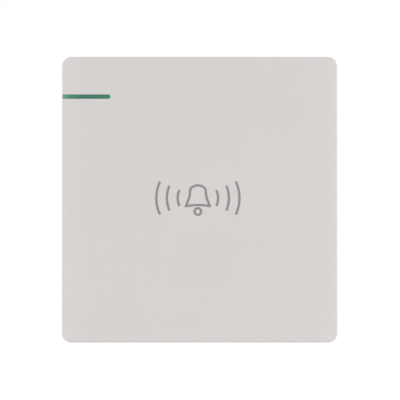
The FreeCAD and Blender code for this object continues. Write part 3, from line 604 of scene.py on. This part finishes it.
finishes = {
    # the plate's plastic gets painted light towards its two side edges
    "plate_plastic": moulded_plastic("plate_satin", (0.683, 0.652, 0.643), 0.42, 0.22, 0.0035, uneven=0.006,
                                     painted_side_light_reach=8.0),
    "frame_plastic": moulded_plastic("frame_satin", (0.66, 0.635, 0.625), 0.45, 0.3, 0.006),
    "housing_plastic": moulded_plastic("housing_nylon", (0.74, 0.73, 0.70), 0.5, 0.35, 0.008),
    "cover_plastic": moulded_plastic("cover_nylon", (0.68, 0.67, 0.65), 0.52, 0.35, 0.01),
    "plunger_plastic": moulded_plastic("plunger_acetal", (0.78, 0.78, 0.76), 0.3, 0.8, 0.002),
    "soft_pad": moulded_plastic("soft_silicone", (0.62, 0.62, 0.61), 0.6, 0.15, 0.006),
    "white_reflector": moulded_plastic("white_reflector_gloss", (0.85, 0.85, 0.84), 0.2, 1.2, 0.002),
    "green_light_guide": green_guide_painted_light(),
    "grey_ink": printed_ink(),
    "galvanised_steel": galvanised_sheet(),
    "screw_steel": worked_metal("zinc_plated_steel", (0.62, 0.62, 0.60), (0.56, 0.55, 0.52), 0.27,
                                (2.0, 2.0, 2.0), 0.002),
    "spring_steel": worked_metal("drawn_spring_wire", (0.50, 0.50, 0.51), (0.42, 0.42, 0.42), 0.3,
                                 (6.0, 0.8, 6.0), 0.002),
    "copper_alloy": worked_metal("rolled_bronze", (0.72, 0.46, 0.31), (0.60, 0.36, 0.24), 0.28,
                                 (8.0, 8.0, 0.6), 0.002),
    "silver": worked_metal("contact_silver", (0.86, 0.85, 0.83), (0.72, 0.71, 0.68), 0.25,
                           (3.0, 3.0, 3.0), 0.001),
    "brass": worked_metal("machined_brass", (0.76, 0.58, 0.28), (0.66, 0.49, 0.24), 0.28,
                          (7.0, 0.5, 7.0), 0.003),
    "circuit_board": moulded_plastic("solder_mask", (0.02, 0.17, 0.07), 0.28, 0.25, 0.004, uneven=0.12),
    "masked_track": moulded_plastic("masked_copper", (0.045, 0.25, 0.11), 0.28, 0.25, 0.003, uneven=0.08),
    "lamp_body": moulded_plastic("clear_lamp_resin", (0.35, 0.75, 0.48), 0.15, 1.0, 0.001, Coat_Weight=0.5),
    "dark_component": moulded_plastic("moulded_component", (0.025, 0.025, 0.027), 0.35, 0.15, 0.003,
                                      uneven=0.2),
    "red_lead": moulded_plastic("red_insulation", (0.50, 0.035, 0.025), 0.35, 0.5, 0.002, uneven=0.05),
    "black_lead": moulded_plastic("black_insulation", (0.025, 0.025, 0.025), 0.38, 0.5, 0.002, uneven=0.1),
}

for row in frame["record"]["subparts"]:
    nodes[row["node"]].material_slots[0].material = finishes[row["material_slot"]]


def stands_out(edge):
    """True for a sharp outward edge."""
    return len(edge.link_faces) == 2 and edge.is_convex and edge.calc_face_angle() > sharp_turn


def gap_between(edge, other):
    """The least distance from either edge's ends to the other edge."""
    gaps = []
    for first, second in ((edge, other), (other, edge)):
        start, end = [vertex.co for vertex in second.verts]
        for vertex in first.verts:
            share = intersect_point_line(vertex.co, start, end)[1]
            gaps.append((start.lerp(end, min(max(share, 0.0), 1.0)) - vertex.co).length)
    return min(gaps)


def has_room(edge, width):
    """True if both faces have the edge's width clear of the edges that lie opposite it."""
    for face in edge.link_faces:
        inward = {corner.edge: face.normal.cross(corner.link_loop_next.vert.co - corner.vert.co).normalized()
                  for corner in face.loops}
        for other in face.edges:
            if set(edge.verts) & set(other.verts) or inward[edge].dot(inward[other]) > opposite:
                continue
            shares = stands_out(other) and other.calc_length() >= edge.calc_length()
            if gap_between(edge, other) < width * (shared_room if shares else own_room):
                return False
    return True


def runs_on(edge, other, corner):
    """True if a sharp outward edge carries on, nearly straight, from the edge's corner."""
    if other == edge or not stands_out(other):
        return False
    ahead = (corner.co - edge.other_vert(corner).co).normalized()
    return ahead.dot((other.other_vert(corner).co - corner.co).normalized()) > straight_on


def eased_edges(piece, width):
    """Every sharp outward edge with room for its easing, whole runs of edges at a time."""
    bpy.ops.mesh.select_all(action="DESELECT")
    cage = bmesh.from_edit_mesh(piece.data)
    kept = {edge for edge in cage.edges if stands_out(edge) and has_room(edge, width)}
    dropped = True
    while dropped:
        dropped = {edge for edge in kept for corner in edge.verts for other in corner.link_edges
                   if other not in kept and runs_on(edge, other, corner)}
        kept -= dropped
    return {edge.index for edge in kept}


def close_folds(piece, width):
    """Closes the slivers that an easing's end can fold back over the face beside it."""
    longest = sliver_share * width
    pick(piece, "edges", lambda edge: len(edge.link_faces) == 2 and edge.calc_length() < longest
         and edge.calc_face_angle(0) > fold_turn)
    if piece.data.total_edge_sel:
        bpy.ops.mesh.merge(type="COLLAPSE")


def eased_copy(node, name, width):
    """A merged copy of a node with its sharp edges eased, as the real making leaves them."""
    piece = bpy.data.objects.new(name, nodes[node].data.copy())
    bpy.context.scene.collection.objects.link(piece)
    select_only(piece)
    bpy.ops.mesh.customdata_custom_splitnormals_clear()
    merge_points(node_merge)
    bpy.ops.mesh.dissolve_limited(angle_limit=math.radians(0.5))
    eased = eased_edges(piece, width)
    pick(piece, "edges", lambda edge: edge.index in eased)
    bpy.ops.mesh.bevel(offset=width, segments=easing_steps, affect="EDGES", clamp_overlap=False)
    close_folds(piece, width)
    leave_edit()
    return evened(smoothed(piece, block_shading))


def eased_pieces():
    """The moulded, stamped and machined pieces whose form the frame already holds."""
    rows = [
        ("dolly_plate", "press_plate", "dolly", plate_rim_edge),
        ("surround_frame", "wall_frame", "frame", moulded_edge),
        ("support_grid", "steel_grid", "frame", stamped_edge),
        ("mechanism_housing", "contact_housing", "frame", moulded_edge),
        ("mechanism_cover", "rear_cover", "frame", moulded_edge),
        ("light_box", "lamp_reflector", "frame", moulded_edge),
        ("plunger", "press_plunger", "plunger", machined_edge),
        ("led_board", "lamp_board", "frame", board_edge),
        ("terminal_clamps", "wire_clamps", "frame", stamped_edge),
        ("contact_bridge", "bridge_bar", "plunger", stamped_edge),
        ("fixed_contact_left", "left_contact_strip", "frame", stamped_edge),
        ("fixed_contact_right", "right_contact_strip", "frame", stamped_edge),
        ("terminal_cage_left", "left_terminal_cage", "frame", machined_edge),
        ("terminal_cage_right", "right_terminal_cage", "frame", machined_edge),
    ]
    slots = {row["node"]: row["material_slot"] for row in frame["record"]["subparts"]}
    for node, name, body, width in rows:
        stands_for(eased_copy(node, name, width), body, slots[node], node)


eased_pieces()


# Screws, modelled along +Y with the head's seat at Y = 0
def screw_head(screw, head_radius, head_height, shank_radius):
    """Draws the head out of the shank's front end and rounds its rim."""
    pick(screw, "faces", lambda face: face.normal.y < -0.9)
    bpy.ops.mesh.extrude_region_move()
    bpy.ops.transform.resize(value=(head_radius / shank_radius,) * 3, center_override=(0, 0, 0))
    bpy.ops.mesh.extrude_region_move(TRANSFORM_OT_translate={"value": (0, -head_height, 0)})
    top = -head_height * 0.99
    pick(screw, "edges", lambda edge: all(vertex.co.y < top for vertex in edge.verts))
    bpy.ops.mesh.bevel(offset=head_height * head_rounding, segments=head_steps, affect="EDGES")
    leave_edit()


def recess_cutter(head_height, arm, half):
    """A wedge that cuts one arm of the driver's recess, narrower towards its floor."""
    deselect_all()
    bpy.ops.mesh.primitive_cube_add(size=1, location=(0, -head_height, 0),
                                    scale=(2 * arm, 2 * recess_depth * head_height, 2 * half))
    cutter = named("recess_cutter")
    pick(cutter, "faces", lambda face: face.normal.y > 0.9)
    bpy.ops.transform.resize(value=(recess_taper, 1, recess_taper), center_override=(0, 0, 0))
    leave_edit()
    return cutter


def cut_recess(screw, head_radius, head_height, drive):
    half = head_radius * recess_half
    if drive == "slot":
        cut_by(screw, recess_cutter(head_height, head_radius * 2, half))
        return
    for turn in (0, math.pi / 2):
        cutter = recess_cutter(head_height, head_radius * recess_arm, half)
        cutter.data.transform(Matrix.Rotation(turn, 4, "Y"))
        cut_by(screw, cutter)


def thread_shank(screw, radius, length, pitch, depth, bare):
    """Divides the shank into rings and sinks them to a thread that fades in and out."""
    pick(screw, "edges", lambda edge: edge.calc_length() > length * 0.9)
    cuts = round(length / pitch * thread_rings)
    bpy.ops.mesh.subdivide_edgering(number_cuts=cuts, interpolation="LINEAR")
    leave_edit()
    shoulder = length - radius
    for vertex in screw.data.vertices:
        x, y, z = vertex.co
        reach = math.hypot(x, z)
        if y < length * 0.001 or reach < radius * 0.99:
            continue
        turn = (y / pitch - math.atan2(z, x) / (2 * math.pi)) % 1.0
        groove = 1 - abs(2 * turn - 1)
        fade = max(0.0, min(1.0, (y - bare) / pitch, (length - y) / pitch))
        narrow = 1 - (1 - point_share) * max(0.0, y - shoulder) / radius
        size = (radius - depth * groove * fade) * narrow / reach
        vertex.co.x = x * size
        vertex.co.z = z * size


def screw_model(head_radius, head_height, radius, length, pitch, depth, bare=0.0, drive="cross"):
    """One pan-head screw, its thread's crests at the shank's full radius."""
    deselect_all()
    bpy.ops.mesh.primitive_cylinder_add(vertices=screw_columns, radius=radius, depth=length,
                                        location=(0, length / 2, 0), rotation=(math.pi / 2, 0, 0))
    screw = named("screw_model")
    screw_head(screw, head_radius, head_height, radius)
    cut_recess(screw, head_radius, head_height, drive)
    thread_shank(screw, radius, length, pitch, depth, bare)
    return evened(smoothed(screw, block_shading))


def set_screws(model, node, name, places, aim=Matrix()):
    """Copies of one screw at their places, each driven home at a turn of its own."""
    turns = [aim @ Matrix.Rotation(math.radians(next_turn * index + first_turn), 4, "Y")
             for index in range(len(places))]
    set_out(model, name, places, turns, "frame", "screw_steel", node)


def head_places(node, head_radius, seat, columns, rows):
    """Where the heads of a node's screws are centred, from the node's own box."""
    low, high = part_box(node)
    xs = [low.x + head_radius, (low.x + high.x) / 2, high.x - head_radius]
    zs = [low.z + head_radius, (low.z + high.z) / 2, high.z - head_radius]
    return [Vector((xs[column], seat, zs[row])) for column, row in zip(columns, rows)]


def all_screws():
    """Every screw: fixing, grid, cover and board screws along Y, terminal screws along Z."""
    grid_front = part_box("support_grid")[0].y
    board_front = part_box("led_board")[0].y
    backwards = Matrix.Rotation(math.pi, 4, "X")
    upwards = Matrix.Rotation(math.pi / 2, 4, "X")

    places = head_places("fixing_screws", fixing_screw["head_radius"], grid_front, (0, 2), (1, 1))
    set_screws(screw_model(**fixing_screw), "fixing_screws", "fixing_screw", places)

    places = head_places("grid_screws", grid_screw["head_radius"], grid_front, (0, 2, 0, 2), (0, 0, 2, 2))
    set_screws(screw_model(**grid_screw), "grid_screws", "grid_screw", places)

    places = head_places("cover_screws", cover_screw["head_radius"], cover_rear, (0, 2, 1), (2, 2, 0))
    set_screws(screw_model(**cover_screw), "cover_screws", "cover_screw", places, aim=backwards)

    places = head_places("board_screws", board_screw["head_radius"], board_front, (0, 2), (1, 1))
    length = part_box("board_screws")[1].y - board_front
    set_screws(screw_model(length=length, **board_screw), "board_screws", "board_screw", places)

    low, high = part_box("terminal_screws")
    seat = low.z + terminal_screw["head_height"]
    middle = (low.y + high.y) / 2
    head_radius = (high.y - low.y) / 2
    places = [Vector((side * (high.x - head_radius), middle, seat)) for side in (-1, 1)]
    model = screw_model(head_radius=head_radius, length=high.z - seat, drive="slot", **terminal_screw)
    set_screws(model, "terminal_screws", "terminal_screw", places, aim=upwards)


def coil_spring(node, name, body, wire, turns):
    """A compression spring along Y in the node's box, with closed turns at its ends."""
    low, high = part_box(node)
    mean_radius = (high.x - low.x) / 2 - wire / 2
    length = high.y - low.y - wire
    closed_rise = closed_turns * wire
    open_turns = turns - 2 * closed_turns
    points = []
    for index in range(turns * coil_points + 1):
        turn = index / coil_points
        opened = min(max((turn - closed_turns) / open_turns, 0.0), 1.0)
        ends = min(turn, closed_turns) + max(turn - turns + closed_turns, 0.0)
        rise = closed_rise * ends / closed_turns + (length - 2 * closed_rise) * opened
        along = low.y + wire / 2 + rise
        angle = 2 * math.pi * turn
        points.append((mean_radius * math.cos(angle), along, mean_radius * math.sin(angle)))
    return stands_for(tube_along(name, points, wire / 2), body, "spring_steel", node)


def both_springs():
    """The plunger's return spring, with a mesh of its own, and the bridge's spring."""
    coil_spring("contact_spring", "bridge_spring", "plunger", contact_spring_wire, contact_spring_turns)
    spring = coil_spring("return_spring", "plunger_spring", "frame", return_spring_wire, return_spring_turns)
    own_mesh(spring)


all_screws()
both_springs()


# Indicator board: its lamps, chips, solder and tracks, modelled on a board face at Y = 0
def chip_body(name, low, high, taper=1.0, rounding=0.04 * MM):
    """A small block between two corners, narrower towards its front face, with rounded edges."""
    low, high = Vector(low), Vector(high)
    middle = (low + high) / 2
    deselect_all()
    bpy.ops.mesh.primitive_cube_add(size=1, location=middle, scale=high - low)
    block = named(name)
    pick(block, "faces", lambda face: face.normal.y < -0.9)
    bpy.ops.transform.resize(value=(taper, 1, taper), center_override=(middle.x, low.y, middle.z))
    pick(block, "edges", lambda edge: True)
    bpy.ops.mesh.bevel(offset=rounding, segments=3, affect="EDGES")
    leave_edit()
    return evened(smoothed(block, block_shading))


def solder_ramp(height, width):
    """Solder that runs down from a chip's end to the board."""
    deselect_all()
    bpy.ops.mesh.primitive_cube_add(size=1, location=(solder_run / 2, -height / 2, 0),
                                    scale=(solder_run, height, width))
    ramp = named("solder_ramp")
    pick(ramp, "edges", lambda edge: all(vertex.co.x > solder_run * 0.9 and vertex.co.y < -height * 0.9
                                         for vertex in edge.verts))
    bpy.ops.transform.translate(value=(0, height * solder_fall, 0))
    pick(ramp, "edges", lambda edge: edge.is_convex)
    bpy.ops.mesh.bevel(offset=height * solder_rounding, segments=2, affect="EDGES")
    leave_edit()
    return smoothed(ramp, tube_shading)


def chip_ends(name, places, length, height, width, cap, *home):
    """The metal caps on both ends of each chip, and their solder."""
    tops = [place + Vector((side * length / 2, 0, 0)) for place in places for side in (-1, 1)]
    turns = [Matrix.Rotation(math.pi, 4, "Y"), Matrix()]
    model = chip_body("chip_cap", (-cap, -height, -width / 2), (0, 0, width / 2))
    set_out(model, name + "_cap", tops, turns, *home)
    solder = solder_ramp(height * solder_rise_share, width * solder_width_share)
    set_out(solder, name + "_solder", tops, turns, *home)


def seat_on_board(low, high):
    """The middle of a part's box, on the board behind it."""
    return Vector(((low.x + high.x) / 2, high.y, (low.z + high.z) / 2))


def lamps_on_board():
    """Three chip lamps: a white base, a clear green lens and a metal cap at each end."""
    low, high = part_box("green_leds")
    width = high.z - low.z
    middle = seat_on_board(low, high)
    spread_x = (high.x - low.x) / 2 - lamp_length / 2
    places = [middle + Vector((side * spread_x, 0, 0)) for side in (-1, 0, 1)]
    half = lamp_length / 2 - cap_proud
    base = chip_body("lamp_base", (-half, -lamp_base_height, -width / 2), (half, 0, width / 2))
    set_out(base, "lamp_base", places, [None], "frame", "white_reflector", "green_leds")
    clear = chip_body("lamp_lens", (-lens_half_length, low.y - high.y, -lens_half_width),
                      (lens_half_length, -lens_foot, lens_half_width), taper=0.88, rounding=0.08 * MM)
    set_out(clear, "lamp_lens", places, [None], "frame", "lamp_body", "green_leds")
    chip_ends("lamp", places, lamp_length, lamp_cap_height, width, lamp_cap, "frame", "silver", "green_leds")


def resistor_on_board():
    """A chip resistor: white ceramic with a black coat between its metal caps."""
    low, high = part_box("led_resistor")
    place = seat_on_board(low, high)
    length, height, width = high - low
    half = length / 2 - cap_proud
    core = chip_body("resistor_core", (-half, coat_lap - height, -width / 2), (half, 0, width / 2))
    set_out(core, "resistor_core", [place], [None], "frame", "white_reflector", "led_resistor")
    coat = chip_body("resistor_coat", (coat_end - half, -height, coat_side - width / 2),
                     (half - coat_end, coat_thickness - height, width / 2 - coat_side))
    set_out(coat, "resistor_coat", [place], [None], "frame", "dark_component", "led_resistor")
    chip_ends("resistor", [place], length, height - cap_proud, width, resistor_cap,
              "frame", "silver", "led_resistor")


def diode_on_board():
    """A moulded diode with a white band at one end and a flat lead at each."""
    low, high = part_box("rectifier_diode")
    place = seat_on_board(low, high)
    length, height, width = high - low
    body = chip_body("diode_body", (-length / 2, -height, -width / 2), (length / 2, -diode_lift, width / 2),
                     taper=0.9, rounding=0.06 * MM)
    set_out(body, "diode_body", [place], [None], "frame", "dark_component", "rectifier_diode")
    band = chip_body("diode_band", (-band_start * length, -0.01 * MM - height, -band_half * width),
                     (-band_end * length, 0.02 * MM - height, band_half * width), rounding=0.005 * MM)
    set_out(band, "diode_band", [place], [None], "frame", "white_reflector", "rectifier_diode")
    foot = chip_body("diode_foot", (-diode_foot_lap, -diode_foot_thickness, -diode_foot_half),
                     (diode_foot_run, 0, diode_foot_half))
    ends = [place + Vector((side * length / 2, 0, 0)) for side in (-1, 1)]
    turns = [Matrix.Rotation(math.pi, 4, "Y"), Matrix()]
    set_out(foot, "diode_foot", ends, turns, "frame", "silver", "rectifier_diode")
    toes = [place + Vector((side * (length / 2 + diode_foot_run), 0, 0)) for side in (-1, 1)]
    set_out(solder_ramp(height=0.12 * MM, width=0.9 * MM), "diode_solder", toes, turns, "frame", "silver")


def solder_joint():
    """A drop of solder drawn up towards the wire that it holds."""
    deselect_all()
    bpy.ops.mesh.primitive_uv_sphere_add(segments=24, ring_count=12, radius=1, location=(0, 0, 0),
                                         rotation=(math.pi / 2, 0, 0),
                                         scale=(drop_radius, drop_radius, drop_height))
    drop = named("solder_joint")
    shoulder = -0.2 * MM
    pick(drop, "verts", lambda vertex: vertex.co.y < shoulder)
    bpy.ops.transform.resize(value=(0.6, 1.6, 0.8), center_override=(0, shoulder, 0))
    leave_edit()
    return smoothed(drop, tube_shading)


def soldered_leads():
    """The leads' bared ends on their pads, and solder at both ends of each lead."""
    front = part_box("led_board")[0].y
    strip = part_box("fixed_contact_left")[0].y
    joints = []
    for name, (x, z) in (("red", red_lead_end), ("black", black_lead_end)):
        over = front - lead_radius
        lying = front - wire_lie
        points = [(x, over, z - 0.3 * MM), (x, over, z + 0.2 * MM), (x, lying, z + 0.7 * MM),
                  (x, lying, z + 1.3 * MM)]
        wire = tube_along(name + "_lead_wire", points, wire_radius)
        stands_for(wire, "frame", "copper_alloy")
        joints.append(Vector((x, front, z + 1.0 * MM)))
    deselect_all()
    bpy.ops.mesh.primitive_cylinder_add(vertices=32, radius=pad_radius, depth=pad_thickness,
                                        location=(0, 0, 0), rotation=(math.pi / 2, 0, 0))
    pad = named("lead_pad")
    pick(pad, "edges", lambda edge: all(vertex.co.y < -pad_thickness / 3 for vertex in edge.verts))
    bpy.ops.mesh.bevel(offset=0.01 * MM, segments=2, affect="EDGES")
    leave_edit()
    set_out(smoothed(pad), "lead_pad", joints, [None], "frame", "silver")
    joints += [Vector((side * strip_joint_x, strip, strip_joint_z)) for side in (-1, 1)]
    set_out(solder_joint(), "solder_joint", joints, [None], "frame", "silver")


def board_tracks():
    """Copper tracks under the green mask, from lead to resistor, lamps, diode and back."""
    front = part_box("led_board")[0].y
    red_x, red_z = red_lead_end
    black_x, black_z = black_lead_end
    left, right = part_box("led_resistor")
    diode_left, diode_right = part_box("rectifier_diode")
    row = (left.z + right.z) / 2
    lower = (diode_left.z + diode_right.z) / 2
    above = red_z + 1.8 * MM
    under_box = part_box("light_box")[0].z + 0.5 * MM
    left_run = left.x - 0.8 * MM
    right_run = right.x + 0.9 * MM
    black_run = black_z + 3 * MM
    routes = [
        [(red_x, red_z + MM), (red_x, above), (right_run, above), (right.x + 0.2 * MM, row)],
        [(left.x - 0.2 * MM, row), (left_run, row + 0.6 * MM), (left_run, under_box)],
        [(left_run, row + 0.6 * MM), (left_run, lower + 0.5 * MM), (diode_left.x - 0.5 * MM, lower)],
        [(diode_right.x + 0.5 * MM, lower), (right_run, lower + 0.9 * MM), (right_run, above)],
        [(black_x, black_z + MM), (black_x, black_run), (black_x - 2.6 * MM, black_run)],
    ]
    for index, route in enumerate(routes):
        track = tube_along("board_track_%d" % (index + 1), [(x, 0, z) for x, z in route], track_width / 2)
        flat = Matrix.Scale(2 * track_height / track_width, 4, (0, 1, 0))
        track.data.transform(Matrix.Translation((0, front, 0)) @ flat)
        stands_for(track, "frame", "circuit_board", finish="masked_track")


def cover_marks():
    """Terminal numbers and a gauge for the bared wire, raised on the rear cover."""
    facing = Matrix(((-1, 0, 0, 0), (0, 0, 1, cover_rear), (0, 1, 0, 0), (0, 0, 0, 1)))
    marks = [("3", mark_size, (entry_x, entry_z + mark_rise)),
             ("4", mark_size, (-entry_x, entry_z + mark_rise)),
             ("7 mm", gauge_text_size, (0, entry_z + gauge_text_rise))]
    for index, (words, size, (x, z)) in enumerate(marks):
        deselect_all()
        bpy.ops.object.text_add(location=(0, 0, 0))
        text = bpy.context.object
        text.data.body = words
        text.data.size = size
        text.data.align_x = "CENTER"
        text.data.align_y = "CENTER"
        text.data.extrude = mark_height / 2
        text.data.resolution_u = 6
        bpy.ops.object.convert(target="MESH")
        mark = bpy.context.object
        mark.name = "cover_mark_%d" % (index + 1)
        merge_points(new_merge)
        leave_edit()
        mark.data.transform(Matrix.Translation((x, 0, z)) @ facing)
        stands_for(smoothed(mark), "frame", "cover_plastic")
    inner = bared_length / 2 - gauge_half_stroke
    outer = bared_length / 2 + gauge_half_stroke
    bars = [((-inner, -gauge_half_stroke), (inner, gauge_half_stroke)),
            ((-outer, -gauge_half_end), (-inner, gauge_half_end)),
            ((inner, -gauge_half_end), (outer, gauge_half_end))]
    for index, ((x0, z0), (x1, z1)) in enumerate(bars):
        bar = chip_body("gauge_bar_%d" % (index + 1), (x0, -mark_height, z0), (x1, 0, z1),
                        rounding=gauge_rounding)
        bar.data.transform(Matrix.Translation((0, cover_rear, entry_z)) @ Matrix.Rotation(math.pi, 4, "Z"))
        stands_for(bar, "frame", "cover_plastic")


lamps_on_board()
resistor_on_board()
diode_on_board()
soldered_leads()
board_tracks()
cover_marks()


# Floor, light and camera
def plain_floor():
    """A pale disc below the hung plate, fading out towards its rim and clear from below."""
    deselect_all()
    low = cad_bounds[0].z - floor_drop
    bpy.ops.mesh.primitive_circle_add(vertices=96, radius=floor_radius, fill_type="NGON",
                                      location=(0, 0, low))
    floor = named("plain_floor")
    material = bpy.data.materials.new("pale_floor")
    material.use_nodes = True
    tree = material.node_tree
    shader = tree.nodes["Principled BSDF"]
    shader.inputs["Base Color"].default_value = opaque([floor_grey] * 3)
    shader.inputs["Roughness"].default_value = 0.9
    place = add(tree, "ShaderNodeTexCoord").outputs["Object"]
    flat = add(tree, "ShaderNodeVectorMath", {0: place, 1: (1, 1, 0)}, operation="MULTIPLY")
    reach = add(tree, "ShaderNodeVectorMath", {0: flat.outputs[0]}, operation="LENGTH").outputs["Value"]
    share = spread(tree, reach, 0.0, 1.0, floor_fade, floor_radius)
    underside = add(tree, "ShaderNodeNewGeometry").outputs["Backfacing"]
    share = calculate(tree, "MAXIMUM", share, underside)
    clear = add(tree, "ShaderNodeBsdfTransparent")
    mix = add(tree, "ShaderNodeMixShader", {0: share, 1: shader.outputs[0], 2: clear.outputs[0]})
    connect(tree, mix.outputs[0], tree.nodes["Material Output"].inputs["Surface"])
    floor.data.materials.append(material)


def surroundings():
    """White for the camera and in reflections, and a plain soft level on the surfaces."""
    world = bpy.data.worlds.new("studio")
    bpy.context.scene.world = world
    world.use_nodes = True
    tree = world.node_tree
    tree.nodes.clear()
    path = add(tree, "ShaderNodeLightPath")
    seen = calculate(tree, "MAXIMUM", path.outputs["Is Camera Ray"], path.outputs["Is Glossy Ray"])
    seen = calculate(tree, "MAXIMUM", seen, path.outputs["Is Transmission Ray"])
    soft = add(tree, "ShaderNodeBackground", {"Color": (1, 1, 1, 1), "Strength": ambient})
    white = add(tree, "ShaderNodeBackground", {"Color": (1, 1, 1, 1), "Strength": 1.0})
    mix = add(tree, "ShaderNodeMixShader", {0: seen, 1: soft.outputs[0], 2: white.outputs[0]})
    add(tree, "ShaderNodeOutputWorld", {"Surface": mix.outputs[0]})


def soft_lamp(name, direction, power):
    """A square lamp that faces the object from the given direction."""
    data = bpy.data.lights.new(name, "AREA")
    data.shape = "SQUARE"
    data.size = lamp_size
    data.energy = power
    lamp = bpy.data.objects.new(name, data)
    bpy.context.scene.collection.objects.link(lamp)
    outward = Vector(direction).normalized()
    lamp.location = outward * lamp_distance
    lamp.rotation_mode = "QUATERNION"
    lamp.rotation_quaternion = (-outward).to_track_quat("-Z", "Y")


def photo_camera():
    """The photograph's straight front view, from a little below the plate's middle."""
    low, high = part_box("dolly_plate")
    focal = lens / sensor * photo_size
    distance = (high.x - low.x) * focal / (plate_right - plate_left)
    data = bpy.data.cameras.new("photo_camera")
    data.lens = lens
    data.sensor_width = sensor
    data.shift_x = 0.5 - (plate_left + plate_right) / 2 / photo_size
    data.shift_y = (plate_top + plate_bottom) / 2 / photo_size - 0.5
    data.clip_start = 0.01
    data.clip_end = 10.0
    camera = bpy.data.objects.new("photo_camera", data)
    bpy.context.scene.collection.objects.link(camera)
    middle = Vector(((low.x + high.x) / 2, low.y, (low.z + high.z) / 2))
    camera.location = middle + Vector((0, -distance, -camera_drop))
    camera.rotation_mode = "QUATERNION"
    camera.rotation_quaternion = (middle - camera.location).to_track_quat("-Z", "Y")
    bpy.context.scene.camera = camera


plain_floor()
surroundings()
soft_lamp("left_lamp", (-1.0, -0.7, 0.2), left_lamp_power)
soft_lamp("right_lamp", (1.0, -0.7, 0.2), right_lamp_power)
soft_lamp("top_lamp", (0.0, 0.3, 1.0), top_lamp_power)
soft_lamp("rear_lamp", (0.3, 1.0, 0.5), rear_lamp_power)
photo_camera()

bpy.context.scene.view_settings.view_transform = "Standard"
